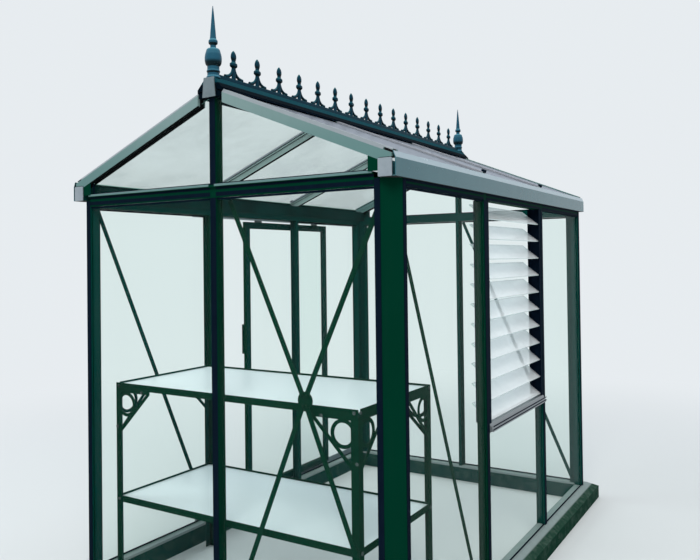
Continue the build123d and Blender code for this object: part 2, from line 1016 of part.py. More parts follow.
def staging_corners():
    front = -half_length + staging_front
    back = front + staging_depth
    return staging_left, staging_right, front, back


def leg_with_brackets(x, y, to_right, to_back):
    """Angle leg with two pierced brackets under the upper shelf."""
    sx = 1 if to_right else -1
    sy = 1 if to_back else -1
    t = staging_rim_wall
    leg = staging_leg
    low_x, high_x = sorted((x, x + sx * leg))
    low_y, high_y = sorted((y, y + sy * leg))
    post = box_between((low_x, low_y, 0), (high_x, high_y, staging_upper - staging_rim))
    cut_x = sorted((x + sx * t, x + sx * (leg + t)))
    cut_y = sorted((y + sy * t, y + sy * (leg + t)))
    post = post - box_between((cut_x[0], cut_y[0], -t), (cut_x[1], cut_y[1], staging_upper))
    top = staging_upper - staging_rim
    sketch = bracket_sketch()
    thick = staging_bracket_thickness
    facing_x = Plane(origin=(x, y + sy * thick / 2, top), x_dir=(sx, 0, 0), z_dir=(0, -sx, 0))
    facing_y = Plane(origin=(x + sx * thick / 2, y, top), x_dir=(0, sy, 0), z_dir=(sy, 0, 0))
    for plane in (facing_x, facing_y):
        post = post + extrude(plane * sketch, amount=thick / 2, both=True)
    return post


def staging_legs():
    left, right, front, back = staging_corners()
    return [
        leg_with_brackets(left, front, True, True),
        leg_with_brackets(right, front, False, True),
        leg_with_brackets(left, back, True, False),
        leg_with_brackets(right, back, False, False),
    ]


def shelf_rim(top, inset):
    """Four angles round a shelf: a flange outside and a ledge under the panel."""
    left, right, front, back = staging_corners()
    t = staging_rim_wall
    ledge_top = top - staging_recess - staging_shelf - seat_gap
    section = [
        (0, top - staging_rim),
        (0, top),
        (t, top),
        (t, ledge_top),
        (staging_ledge, ledge_top),
        (staging_ledge, ledge_top - t),
        (t, ledge_top - t),
        (t, top - staging_rim),
    ]
    left, right, front, back = left + inset, right - inset, front + inset, back - inset
    end = staging_ledge + joint_gap
    across = back - front - 2 * end
    return [
        extrude_from(section, (left, front, 0), (0, 1, 0), (1, 0, 0), right - left),
        extrude_from([(-a, b) for a, b in section], (left, back, 0), (0, 1, 0), (1, 0, 0), right - left),
        extrude_from(section, (left, back - end, 0), (1, 0, 0), (0, -1, 0), across),
        extrude_from([(-a, b) for a, b in section], (right, back - end, 0), (1, 0, 0), (0, -1, 0), across),
    ]


def shelf_panel(top, inset):
    left, right, front, back = staging_corners()
    edge = inset + staging_rim_wall + joint_gap
    high = top - staging_recess
    return box_between(
        (left + edge, front + edge, high - staging_shelf),
        (right - edge, back - edge, high),
    )


def build():
    lower_inset = staging_rim_wall + joint_gap
    post_top = eave_height - joint_gap
    nodes = {}
    post = corner_post()
    corners = four_corners(post)
    nodes["front_right_corner_post"] = corners[0]
    nodes["front_left_corner_post"] = corners[1]
    nodes["rear_right_corner_post"] = corners[2]
    nodes["rear_left_corner_post"] = corners[3]

    side_base = base_side(base_section(), base_core())
    nodes["right_base_rail"] = side_base
    nodes["left_base_rail"] = mirrored_x(side_base)
    gable_base = base_gable(base_section(), base_core())
    nodes["front_base_rail"] = gable_base
    nodes["rear_base_rail"] = mirrored_y(gable_base)
    side_sill = base_side(sill_section(), sill_core())
    gable_sill = base_gable(sill_section(), sill_core())
    nodes["sill_rails"] = [side_sill, mirrored_x(side_sill), gable_sill, mirrored_y(gable_sill)]

    right_posts = [wall_bar(half_width, y, (1, 0), sill_top, post_top) for y in side_posts]
    nodes["right_wall_posts"] = right_posts
    nodes["left_wall_posts"] = [mirrored_x(bar) for bar in right_posts]
    lower = wall_bar(0, -half_length, (0, -1), sill_top, eave_height - joint_gap)
    upper = wall_bar(0, -half_length, (0, -1), tie_top + joint_gap, ridge_bottom - joint_gap)
    nodes["front_gable_posts"] = [lower, upper]
    nodes["rear_gable_posts"] = [mirrored_y(lower), mirrored_y(upper)]

    tie = tie_beam()
    nodes["front_tie_beam"] = tie
    nodes["rear_tie_beam"] = mirrored_y(tie)
    beam = eave_beam()
    nodes["right_eave_beam"] = beam
    nodes["left_eave_beam"] = mirrored_x(beam)
    trough = gutter()
    nodes["right_gutter"] = trough
    nodes["left_gutter"] = mirrored_x(trough)
    nodes["gutter_end_caps"] = four_corners(gutter_end_cap())
    nodes["gable_corner_plates"] = four_corners(corner_plate())

    verge = verge_bar()
    nodes["front_verge_bars"] = [verge, mirrored_x(verge)]
    nodes["rear_verge_bars"] = [mirrored_y(verge), mirrored_x(mirrored_y(verge))]
    bars = [roof_bar(y) for y in side_posts]
    nodes["right_roof_bars"] = bars
    nodes["left_roof_bars"] = [mirrored_x(bar) for bar in bars]
    nodes["ridge_beam"] = ridge_beam()
    nodes["ridge_cresting"] = cresting()
    cap_end = ridge_end_cap()
    nodes["ridge_end_caps"] = [cap_end, mirrored_y(cap_end)]
    finial_y = half_length - finial_inset
    nodes["ridge_finials"] = [finial(-finial_y), finial(finial_y)]

    lower_pane = gable_wall_pane()
    top_pane = gable_top_pane()
    front_glass = [lower_pane, mirrored_x(lower_pane), top_pane, mirrored_x(top_pane)]
    nodes["front_gable_glass"] = front_glass
    nodes["rear_gable_glass"] = [mirrored_y(piece) for piece in front_glass]
    full = (sill_top + seat_gap, eave_height - seat_gap)
    under_louvre = side_pane(1, sill_top + seat_gap, louvre_sill + rebate_depth - edge_gap)
    nodes["right_wall_glass"] = [side_pane(0, *full), under_louvre, side_pane(side_bays - 1, *full)]
    nodes["left_wall_glass"] = [mirrored_x(side_pane(0, *full)), mirrored_x(side_pane(side_bays - 1, *full))]
    slope = [roof_pane(k) for k in range(side_bays)]
    nodes["right_roof_glass"] = slope
    nodes["left_roof_glass"] = [mirrored_x(piece) for piece in slope]

    nodes["front_brace"] = front_brace_arms()
    nodes["front_brace_plate"] = front_brace_plate()
    nodes["rear_brace"] = rear_brace()
    nodes["right_wall_brace"] = side_brace()
    nodes["left_wall_brace"] = mirrored_x(side_brace())

    nodes["louvre_sill"] = louvre_sill_rail()
    nodes["louvre_channels"] = louvre_channels()
    nodes["louvre_blades"] = louvre_blades()

    nodes["door_track"] = door_track()
    nodes["door_guide"] = door_guide()
    nodes["door_frame"] = door_frame()
    nodes["door_glass"] = door_pane()
    nodes["door_hangers"] = door_hangers()
    nodes["door_handle"] = door_handle()

    nodes["staging_legs"] = staging_legs()
    nodes["staging_upper_rim"] = shelf_rim(staging_upper, 0)
    nodes["staging_lower_rim"] = shelf_rim(staging_lower, lower_inset)
    nodes["staging_upper_shelf"] = shelf_panel(staging_upper, 0)
    nodes["staging_lower_shelf"] = shelf_panel(staging_lower, lower_inset)
    return nodes


os.makedirs("parts", exist_ok=True)
for name, shape in build().items():
    solids = []
    for piece in (shape if isinstance(shape, list) else [shape]):
        solids.extend(piece.solids())
    result = solids[0] if len(solids) == 1 else Compound(children=solids)
    export_step(result, f"parts/{name}.step")
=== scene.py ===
import bpy
import math
from mathutils import Matrix, Vector


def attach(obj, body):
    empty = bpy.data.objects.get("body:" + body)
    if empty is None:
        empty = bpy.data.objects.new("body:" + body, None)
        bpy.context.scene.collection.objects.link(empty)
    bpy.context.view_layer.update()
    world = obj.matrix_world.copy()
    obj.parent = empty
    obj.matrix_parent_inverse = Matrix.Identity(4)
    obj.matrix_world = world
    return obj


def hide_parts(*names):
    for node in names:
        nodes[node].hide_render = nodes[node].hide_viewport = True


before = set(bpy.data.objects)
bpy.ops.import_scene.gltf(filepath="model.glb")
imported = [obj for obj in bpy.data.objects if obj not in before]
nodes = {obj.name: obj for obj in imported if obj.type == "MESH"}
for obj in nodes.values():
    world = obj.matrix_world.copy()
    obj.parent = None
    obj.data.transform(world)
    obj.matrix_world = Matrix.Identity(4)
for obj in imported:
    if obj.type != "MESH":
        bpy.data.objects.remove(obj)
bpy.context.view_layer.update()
print("stage: frame loaded,", len(nodes), "nodes")


# One wrapped socket: arithmetic on it adds Math nodes to its tree
class Sock:
    def __init__(self, tree, out):
        self.tree = tree
        self.out = out

    def calc(self, operation, *values):
        return self.tree.add("ShaderNodeMath", {"operation": operation}, dict(enumerate(values)))

    def __add__(self, other):
        return self.calc("ADD", self, other)

    def __radd__(self, other):
        return self.calc("ADD", other, self)

    def __sub__(self, other):
        return self.calc("SUBTRACT", self, other)

    def __rsub__(self, other):
        return self.calc("SUBTRACT", other, self)

    def __mul__(self, other):
        return self.calc("MULTIPLY", self, other)

    def __rmul__(self, other):
        return self.calc("MULTIPLY", other, self)

    def __truediv__(self, other):
        return self.calc("DIVIDE", self, other)

    def __rtruediv__(self, other):
        return self.calc("DIVIDE", other, self)

    def __pow__(self, other):
        return self.calc("POWER", self, other)

    def __rpow__(self, other):
        return self.calc("POWER", other, self)

    def most(self, other):
        return self.calc("MAXIMUM", self, other)

    def least(self, other):
        return self.calc("MINIMUM", self, other)

    def port(self, name):
        return Sock(self.tree, self.out.node.outputs[name])


# A shader or geometry node tree; add makes any node from its type, settings and sockets
class Tree:
    def __init__(self, nodeTree):
        self.nodeTree = nodeTree
        nodeTree.nodes.clear()

    def add(self, kind, settings=None, sockets=None, output=0):
        node = self.nodeTree.nodes.new(kind)
        for name, value in (settings or {}).items():
            if name == "outline":
                self.setOutline(node.mapping, value)
            else:
                setattr(node, name, value)
        for name, value in (sockets or {}).items():
            socket = node.inputs[name]
            for part in value if isinstance(value, list) else [value]:
                if isinstance(part, Sock):
                    self.nodeTree.links.new(part.out, socket)
                elif socket.type == "RGBA":
                    socket.default_value = (*part, 1.0)
                else:
                    socket.default_value = part
        return Sock(self, node.outputs[output] if len(node.outputs) else None)

    def setOutline(self, mapping, places):  # places along a curve node, from 0 to 1
        points = mapping.curves[0].points
        while len(points) < len(places):
            points.new(0.5, 0.5)
        for point, place in zip(points, places):
            point.location = place
            point.handle_type = "AUTO_CLAMPED"
        mapping.update()

    def vector(self, x, y, z):
        return self.add("ShaderNodeCombineXYZ", None, {"X": x, "Y": y, "Z": z})


class Shade(Tree):
    def __init__(self, name):
        self.material = bpy.data.materials.new(name)
        self.material.use_nodes = True
        super().__init__(self.material.node_tree)

    def place(self):
        return self.add("ShaderNodeTexCoord", output="Object")

    def axes(self, vector=None):
        first = self.add("ShaderNodeSeparateXYZ", None, {0: vector or self.place()})
        return first.port("X"), first.port("Y"), first.port("Z")

    def facing(self):
        return self.axes(self.add("ShaderNodeTexCoord", output="Normal"))

    def inward(self):  # 1 on faces that look towards the middle of the house
        x, y, _ = self.axes()
        faceX, faceY, _ = self.facing()
        return self.rise(0 - (x * faceX + y * faceY), 0.12, 0.40)

    def stretched(self, size):
        return self.add("ShaderNodeMapping", None, {"Vector": self.place(), "Scale": size})

    def noise(self, scale, detail=2.0, roughness=0.5, at=None):
        values = {"Vector": at or self.place(), "Scale": scale, "Detail": detail, "Roughness": roughness}
        return self.add("ShaderNodeTexNoise", None, values, "Fac")

    def cells(self, scale):
        values = {"Vector": self.place(), "Scale": scale}
        return self.add("ShaderNodeTexVoronoi", None, values, "Distance")

    def rise(self, value, low, high):  # 0 below low, 1 above high, smooth between
        values = {0: value, 1: low, 2: high}
        return self.add("ShaderNodeMapRange", {"interpolation_type": "SMOOTHSTEP"}, values)

    def blend(self, share, first, second):
        return self.add("ShaderNodeMix", {"data_type": "RGBA"}, {0: share, 6: first, 7: second}, 2)

    def bump(self, height, strength, distance):
        values = {"Height": height, "Strength": strength, "Distance": distance}
        return self.add("ShaderNodeBump", None, values)

    def surface(self, sockets):
        return self.add("ShaderNodeBsdfPrincipled", None, sockets)

    def mixed(self, share, first, second):
        mixer = self.add("ShaderNodeMixShader", None, {0: share})
        self.nodeTree.links.new(first.out, mixer.out.node.inputs[1])
        self.nodeTree.links.new(second.out, mixer.out.node.inputs[2])
        return mixer

    def done(self, shader):
        output = self.nodeTree.nodes.new("ShaderNodeOutputMaterial")
        self.nodeTree.links.new(shader.out, output.inputs["Surface"])
        return self.material


# Powder coat and paint: mottled, a painted light-and-shade tone on the inward faces, another colour above a
# height where a cap starts (on the sill a pale strip, partly painted sky reflection), pale dust mixed with
# painted sky light on the upward faces, and rain splash
def paint(name, values):
    tree = Shade(name)
    height = tree.axes()[2]
    up = tree.facing()[2]
    mottle = tree.noise(values["mottle"], 3.0)
    streaks = tree.noise(1.0, 4.0, 0.6, tree.stretched((70, 70, 2.5)))
    grime = tree.noise(28.0, 5.0, 0.65)
    color = tree.blend(mottle, values["dark"], values["light"])
    # painted light and shade: the same paint in another tone on the faces that look into the house
    color = tree.blend(tree.inward(), color, values["inside"])
    above = tree.rise(height, values["topFrom"] - 0.002, values["topFrom"] + 0.002)
    color = tree.blend(above, color, values["top"])
    splash = (1 - tree.rise(height, 0.0, values["splashTop"])) * tree.rise(grime, 0.42, 0.7)
    # upward faces paler: settled dust mixed with painted sky light
    upwardDustAndSkyLight = tree.rise(up, 0.25, 0.95) * (0.45 + 0.55 * grime)
    washed = tree.rise(streaks, 0.52, 0.8)
    paleDustAndSkyLight = (splash * values["splash"] + upwardDustAndSkyLight * values["upwardDustAndSkyLight"] + washed * values["washed"]).least(1.0)
    color = tree.blend(paleDustAndSkyLight, color, values["paleDustAndSkyLight"])
    rough = values["rough"] + 0.12 * (mottle - 0.5) + 0.35 * paleDustAndSkyLight
    texture = tree.noise(values["peel"], 2.0) * 0.6 + tree.noise(values["peel"] * 0.22, 1.0) * 0.4
    return tree.done(tree.surface({
        "Base Color": color,
        "Roughness": rough,
        "Specular IOR Level": values["gloss"],
        "Normal": tree.bump(texture, values["bump"], 0.0004),
    }))


# Roof trim: one paint on the upright faces, a painted sky reflection where it faces the sky, a darker
# painted reflection down the slope, painted shade in black underneath and in the glazing slot of the
# verges, and painted shade on the inner side of the gutters
def trim(name, values):
    tree = Shade(name)
    up = tree.facing()[2]
    mottle = tree.noise(values["mottle"], 4.0, 0.6)
    grime = tree.noise(22.0, 5.0, 0.65)
    runs = tree.rise(tree.noise(1.0, 4.0, 0.6, tree.stretched((55, 55, 3))), 0.5, 0.78)
    face = tree.blend(mottle, values["dark"], values["light"])
    face = tree.blend(runs * values["runs"], face, values["under"])
    _, y, height = tree.axes()
    # painted reflection: the face turns to the darker low colour further down the slope
    lowReflectionFace = tree.blend(values["foot"], face, values["low"])
    face = tree.blend(tree.rise(height, *values["reflectionFade"]), lowReflectionFace, face)
    # painted shade: black in the glazing slot of the verges
    depth = y.most(0 - y)
    inner, outer = values["slot"]
    slotShade = tree.rise(depth, inner - 0.002, inner + 0.002)
    slotShade = slotShade * (1 - tree.rise(depth, outer - 0.002, outer + 0.002))
    face = tree.blend(slotShade * values["slotShade"], face, values["under"])
    # painted sky reflection on the faces that look up
    skyReflection = tree.blend(grime, values["skyReflectionDark"], values["skyReflectionLight"])
    color = tree.blend(tree.rise(up, 0.2, 0.45), face, skyReflection)
    # painted shade: black on the faces that look down
    shadedUnderside = tree.rise(0 - up, 0.2, 0.45)
    color = tree.blend(shadedUnderside, color, values["under"])
    outside = tree.surface({
        "Base Color": color,
        "Roughness": (values["rough"] + 0.2 * (grime - 0.5)).most(shadedUnderside),
        "Specular IOR Level": values["gloss"],
        "Normal": tree.bump(tree.noise(800.0, 2.0) * 0.5 + grime * 0.5, 0.03, 0.0003),
    })
    # painted shade on the inward faces, the inner side of the gutters
    shaded = tree.blend(mottle, values["inside"], values["under"])
    inside = tree.surface({"Base Color": shaded, "Roughness": 0.5, "Specular IOR Level": 0.006})
    return tree.done(tree.mixed(tree.inward() * values["inwardShadingShare"], outside, inside))


# Castings: deep glossy paint, with a painted sky reflection where it faces the sky and painted shade,
# nearly black, underneath
def casting(name, values):
    tree = Shade(name)
    up = tree.facing()[2]
    mottle = tree.noise(values["mottle"], 4.0, 0.6)
    color = tree.blend(mottle, values["dark"], values["light"])
    # painted sky reflection on top and painted shade underneath
    color = tree.blend(tree.rise(up, 0.15, 0.60), color, values["skyReflection"])
    color = tree.blend(tree.rise(0 - up, 0.0, 0.22), color, values["under"])
    return tree.done(tree.surface({
        "Base Color": color,
        "Roughness": values["rough"] + 0.1 * (mottle - 0.5),
        "Specular IOR Level": values["gloss"],
        "Normal": tree.bump(tree.noise(420.0, 3.0), 0.15, 0.0004),
    }))


# Bare metal: fine drawn lines along each extrusion and a dull bloom
def metal(name, values):
    tree = Shade(name)
    lines = tree.noise(1.0, 4.0, 0.7, tree.stretched(values["drawn"]))
    bloom = tree.noise(values["bloom"], 4.0, 0.6)
    spots = tree.cells(values["spangle"])
    color = tree.blend(bloom, values["dark"], values["light"])
    color = tree.blend(tree.rise(spots, 0.3, 0.75) * 0.15, color, values["light"])
    rough = values["rough"] + 0.22 * (bloom - 0.5) + 0.12 * (lines - 0.5)
    return tree.done(tree.surface({
        "Base Color": color,
        "Roughness": rough,
        "Metallic": values["metallic"],
        "Specular IOR Level": 0.5,
        "Normal": tree.bump(lines * 0.7 + bloom * 0.3, values["bump"], 0.0003),
    }))


# Glass: a tinted clear sheet under a mirror that grows as the view grazes it, deeper at its cut edges
def glass(name, values):
    tree = Shade(name)
    normal = tree.add("ShaderNodeTexCoord", output="Normal")
    pair = {0: normal, 1: values["across"]}
    turn = tree.add("ShaderNodeVectorMath", {"operation": "DOT_PRODUCT"}, pair, "Value")
    edge = 1 - tree.rise(turn * turn, 0.2, 0.6)
    graze = tree.add("ShaderNodeLayerWeight", None, {"Blend": 0.5}, "Facing")
    film = tree.noise(3.5, 4.0, 0.6)
    specks = tree.rise(tree.noise(420.0, 2.0), 0.66, 0.8)
    mirror = (values["mirror"] + values["graze"] * graze ** 5.0).least(0.85)
    clear = tree.add("ShaderNodeBsdfTransparent", None, {"Color": values["tint"]})
    gloss = tree.add("ShaderNodeBsdfGlossy", None, {"Color": values["shine"], "Roughness": values["blur"]})
    sheet = tree.mixed(mirror, clear, gloss)
    haze = tree.surface({
        "Base Color": values["haze"], "Roughness": 0.5, "Specular IOR Level": 0.3,
        "Normal": tree.bump(film, 0.05, 0.001),
    })
    patches = 0.8 + values["patchy"] * (tree.rise(film, 0.35, 0.75) - 0.5)
    # a diffuse haze over the sheet: a dirt film, and on the slats painted sky reflection
    dirtAndSheen = (values["dirtAndSheen"] * patches + specks * values["specks"]).least(1.0)
    rim = tree.surface({"Base Color": values["edge"], "Roughness": 0.12, "Specular IOR Level": 0.6})
    body = tree.mixed(dirtAndSheen, sheet, haze)
    return tree.done(tree.mixed(edge * values["rim"], body, rim))


# Rubber seals and black glazing caps
def rubber(name, values):
    tree = Shade(name)
    wear = tree.noise(16.0, 5.0, 0.6)
    chalk = tree.rise(tree.noise(1.0, 3.0, 0.6, tree.stretched((40, 40, 3))), 0.5, 0.8)
    color = tree.blend((wear * 0.5 + chalk * 0.35).least(1.0), values["dark"], values["worn"])
    return tree.done(tree.surface({
        "Base Color": color,
        "Roughness": values["rough"] + 0.25 * (wear - 0.5),
        "Specular IOR Level": values["gloss"],
        "Normal": tree.bump(tree.noise(700.0, 2.0), 0.08, 0.0003),
    }))


# Pale shelf sheet: a fine embossed grain, scuffs and a little dust
def sheetMetal(name, values):
    tree = Shade(name)
    grain = tree.cells(values["grain"])
    stain = tree.noise(7.0, 5.0, 0.6)
    scuff = tree.rise(tree.noise(1.0, 4.0, 0.7, tree.stretched((14, 160, 14))), 0.6, 0.78)
    color = tree.blend(stain, values["dark"], values["light"])
    color = tree.blend(tree.rise(grain, 0.1, 0.6) * 0.25, color, values["light"])
    color = tree.blend(scuff * 0.22, color, values["scuff"])
    return tree.done(tree.surface({
        "Base Color": color,
        "Roughness": 0.36 + 0.2 * (stain - 0.5) + 0.1 * scuff,
        "Specular IOR Level": 0.45,
        "Normal": tree.bump(grain, 0.25, 0.0005),
    }))


greenPaint = {
    "dark": (0.0002, 0.0250, 0.0130), "light": (0.0004, 0.0330, 0.0180),
    "inside": (0.0012, 0.0410, 0.0345), "paleDustAndSkyLight": (0.15, 0.20, 0.17), "mottle": 3.0,
    "splashTop": 0.30, "splash": 0.08, "upwardDustAndSkyLight": 0.22, "washed": 0.010,
    "rough": 0.5, "gloss": 0.006, "peel": 900.0, "bump": 0.1,
    "topFrom": 3.0, "top": (0.005, 0.045, 0.060),  # plain green pieces never reach this height
}
# ridge: near-black base colour is painted shade on the ridge beam's flanks
ridgeShadePaint = dict(greenPaint, dark=(0.0008, 0.0030, 0.0060), light=(0.0012, 0.0050, 0.0095),
                  inside=(0.004, 0.02, 0.02), upwardDustAndSkyLight=0.02, gloss=0.004, topFrom=2.024)
basePaint = dict(greenPaint, splash=0.22, upwardDustAndSkyLight=0.16)
# the sill's top above 0.081 m is pale: a pale strip, partly painted sky reflection on the up-facing ledge
sillPaint = dict(basePaint, topFrom=0.0810, top=(0.24, 0.29, 0.29))
# castings: the sky colour is a painted sky reflection, the under colour painted shade
castPaint = {
    "dark": (0.0090, 0.0560, 0.0900), "light": (0.0170, 0.0860, 0.1360),
    "skyReflection": (0.0700, 0.2200, 0.2900), "under": (0.0006, 0.0090, 0.0130),
    "mottle": 6.0, "rough": 0.32, "gloss": 0.10,
}
crestPaint = dict(castPaint, dark=(0.0018, 0.0210, 0.0370), light=(0.0040, 0.0380, 0.0620),
                  skyReflection=(0.012, 0.080, 0.100), gloss=0.05)
# verge: the pale face colours are painted sky reflection on green paint, low is a darker painted
# reflection, under is painted shade
vergeSheenTrim = {
    "dark": (0.150, 0.230, 0.225), "light": (0.195, 0.285, 0.280),
    "low": (0.090, 0.185, 0.180), "foot": 0.8,
    "inside": (0.004, 0.050, 0.044), "inwardShadingShare": 0.0, "under": (0.0010, 0.0020, 0.0025),
    "reflectionFade": (1.72, 1.96), "slot": (1.110, 1.130), "slotShade": 1.0,
    "skyReflectionDark": (0.19, 0.22, 0.24), "skyReflectionLight": (0.25, 0.285, 0.305), "mottle": 6.0, "runs": 0.05,
    "rough": 0.4, "gloss": 0.12,
}
# gutter: the sky colours are painted sky reflection, the inner side painted shade
gutterTrim = dict(vergeSheenTrim, dark=(0.010, 0.085, 0.108), light=(0.030, 0.120, 0.142),
                  foot=0.0, inwardShadingShare=1.0, slotShade=0.0, skyReflectionDark=(0.31, 0.40, 0.45),
                  skyReflectionLight=(0.40, 0.49, 0.55), rough=0.24, gloss=0.6)
barTrim = dict(vergeSheenTrim, dark=(0.240, 0.330, 0.320), light=(0.320, 0.420, 0.410),
               foot=0.0, slotShade=0.0, gloss=0.1)
millMetal = {
    "dark": (0.24, 0.29, 0.32), "light": (0.38, 0.43, 0.47), "drawn": (500, 12, 500), "bloom": 14.0,
    "spangle": 90.0, "rough": 0.42, "metallic": 0.7, "bump": 0.05,
}
ridgeCapMetal = dict(millMetal, dark=(0.11, 0.15, 0.17), light=(0.20, 0.25, 0.27), metallic=0.5)
sillMetal = dict(millMetal, dark=(0.17, 0.19, 0.20), light=(0.30, 0.33, 0.35), metallic=0.6)
zincMetal = dict(millMetal, dark=(0.06, 0.08, 0.08), light=(0.13, 0.16, 0.16),
                 drawn=(60, 60, 60), spangle=260.0)
roofCapMetal = dict(millMetal, dark=(0.22, 0.23, 0.26), light=(0.31, 0.32, 0.36),
                    metallic=0.2, rough=0.5, drawn=(12, 500, 12))
paneGlass = {
    "across": (1, 0, 0), "tint": (0.965, 0.990, 0.980), "shine": (0.95, 0.98, 1.0),
    "mirror": 0.0035, "graze": 0.10, "blur": 0.03,
    "haze": (0.60, 0.66, 0.64), "dirtAndSheen": 0.002, "patchy": 0.9, "specks": 0.004,
    "edge": (0.16, 0.40, 0.33), "rim": 0.7,
}
roofGlass = dict(paneGlass, shine=(0.46, 0.49, 0.56), blur=0.3, dirtAndSheen=0.10, specks=0.03,
                 graze=0.85, mirror=0.02, haze=(0.36, 0.38, 0.43))
# slats: the nearly white haze over almost half of each slat is painted sky reflection
slatGlass = dict(paneGlass, tint=(0.96, 0.985, 1.0), shine=(0.97, 1.0, 1.0), blur=0.14, graze=0.2,
                 mirror=0.12, haze=(0.98, 1.0, 1.0), dirtAndSheen=0.44, patchy=0.10, specks=0.0,
                 edge=(0.62, 0.78, 0.76))
capRubber = {
    "dark": (0.0018, 0.0048, 0.0110), "worn": (0.0060, 0.0150, 0.0290), "rough": 0.5, "gloss": 0.006,
}
shelfFinish = {
    "dark": (0.70, 0.77, 0.81), "light": (0.79, 0.86, 0.89), "scuff": (0.84, 0.90, 0.92), "grain": 330.0,
}

slope = math.radians(22)  # of the roof
roofAcross = {
    "right": (math.sin(slope), 0, math.cos(slope)),
    "left": (-math.sin(slope), 0, math.cos(slope)),
}
tilt = math.radians(38)  # of the louvre slats
slatAcross = (math.sin(tilt), 0, math.cos(tilt))
finishes = {
    "greenCoat": paint("greenCoat", greenPaint),
    "ridgeCoat": paint("ridgeCoat", ridgeShadePaint),
    "vergeCoat": trim("vergeCoat", vergeSheenTrim),
    "gutterCoat": trim("gutterCoat", gutterTrim),
    "barCoat": trim("barCoat", barTrim),
    "castCoat": casting("castCoat", castPaint),
    "crestCoat": casting("crestCoat", crestPaint),
    "baseCoat": paint("baseCoat", basePaint),
    "sillCoat": paint("sillCoat", sillPaint),
    "millAluminium": metal("millAluminium", millMetal),
    "ridgeCapMetal": metal("ridgeCapMetal", ridgeCapMetal),
    "louvreSillMetal": metal("louvreSillMetal", sillMetal),
    "zincSteel": metal("zincSteel", zincMetal),
    "roofCapMetal": metal("roofCapMetal", roofCapMetal),
    "sideGlass": glass("sideGlass", paneGlass),
    "gableGlass": glass("gableGlass", dict(paneGlass, across=(0, 1, 0))),
    "rightRoofGlass": glass("rightRoofGlass", dict(roofGlass, across=roofAcross["right"])),
    "leftRoofGlass": glass("leftRoofGlass", dict(roofGlass, across=roofAcross["left"])),
    "slatGlass": glass("slatGlass", dict(slatGlass, across=slatAcross)),
    "capRubber": rubber("capRubber", capRubber),
    "shelfSheet": sheetMetal("shelfSheet", shelfFinish),
}
print("stage: finishes made,", len(finishes))


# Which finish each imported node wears: by its own name, or else by the first of these words in it
namedFinish = {
    "right_roof_glass": "rightRoofGlass", "left_roof_glass": "leftRoofGlass",
    "louvre_blades": "slatGlass", "louvre_sill": "louvreSillMetal", "louvre_channels": "capRubber",
    "gutter_end_caps": "millAluminium", "door_guide": "millAluminium", "door_track": "millAluminium",
    "ridge_end_caps": "ridgeCapMetal", "ridge_cresting": "castCoat", "ridge_finials": "castCoat",
    "door_hangers": "zincSteel", "sill_rails": "sillCoat",
}
wordFinish = {
    "gable_glass": "gableGlass", "glass": "sideGlass", "shelf": "shelfSheet", "base_rail": "baseCoat",
    "gutter": "gutterCoat", "verge": "vergeCoat", "ridge": "ridgeCoat", "roof_bars": "barCoat",
}


def finishOf(name):
    if name in namedFinish:
        return namedFinish[name]
    return next((finish for word, finish in wordFinish.items() if word in name), "greenCoat")


for name, node in nodes.items():
    for slot in node.material_slots:
        slot.material = finishes[finishOf(name)]
print("stage: packed nodes dressed")


# Geometry Nodes: a tree with named sizes, run on a carrier of points and kept as a plain mesh
class Shapes(Tree):
    def __init__(self, name, sizes):
        group = bpy.data.node_groups.new(name, "GeometryNodeTree")
        super().__init__(group)
        group.interface.new_socket("Geometry", in_out="INPUT", socket_type="NodeSocketGeometry")
        group.interface.new_socket("Geometry", in_out="OUTPUT", socket_type="NodeSocketGeometry")
        self.keys = {}
        for label, value in sizes.items():
            socket = group.interface.new_socket(label, in_out="INPUT", socket_type="NodeSocketFloat")
            socket.default_value = value
            self.keys[label] = (socket.identifier, value)
        self.given = self.add("NodeGroupInput")

    def size(self, label):
        return self.given.port(label)

    def moved(self, shape, offset=(0, 0, 0), scale=(1, 1, 1)):
        values = {"Geometry": shape, "Translation": offset, "Scale": scale}
        return self.add("GeometryNodeTransform", None, values)

    def joined(self, *shapes):
        return self.add("GeometryNodeJoinGeometry", None, {"Geometry": list(shapes)})

    def smooth(self, shape):
        return self.add("GeometryNodeSetShadeSmooth", None, {"Geometry": shape})

    def solid(self, outline):  # a closed outline, filled and drawn up along Z by 1
        face = self.add("GeometryNodeFillCurve", {"mode": "NGONS"}, {"Curve": outline})
        drawn = {"Mesh": face, "Offset": (0, 0, 1), "Offset Scale": 1.0, "Individual": False}
        body = self.add("GeometryNodeExtrudeMesh", {"mode": "FACES"}, drawn)
        under = self.add("GeometryNodeFlipFaces", None, {"Mesh": face})
        closed = {"Geometry": self.joined(body, under), "Distance": 1e-6}
        return self.add("GeometryNodeMergeByDistance", None, closed)

    def cylinder(self, sides, radius, low, high):
        values = {"Vertices": sides, "Radius": radius, "Depth": high - low}
        shape = self.add("GeometryNodeMeshCylinder", None, values)
        return self.moved(shape, self.vector(0, 0, (low + high) / 2))

    def swept(self, path, profile, scale):
        values = {"Curve": path, "Profile Curve": profile, "Scale": scale, "Fill Caps": True}
        return self.add("GeometryNodeCurveToMesh", None, values)

    def attribute(self, label):
        return self.add("GeometryNodeInputNamedAttribute", {"data_type": "FLOAT_VECTOR"}, {"Name": label})

    def scatter(self, shape, finish):  # one copy on every point, turned and stretched by its attributes
        rotation = self.add("FunctionNodeEulerToRotation", None, {"Euler": self.attribute("turn")})
        values = {
            "Points": self.given, "Instance": shape,
            "Rotation": rotation, "Scale": self.attribute("stretch"),
        }
        copies = self.add("GeometryNodeInstanceOnPoints", None, values)
        real = self.add("GeometryNodeRealizeInstances", None, {"Geometry": copies})
        coating = {"Geometry": real, "Material": finishes[finish]}
        coated = self.add("GeometryNodeSetMaterial", None, coating)
        self.add("NodeGroupOutput", None, {"Geometry": coated})
        return self


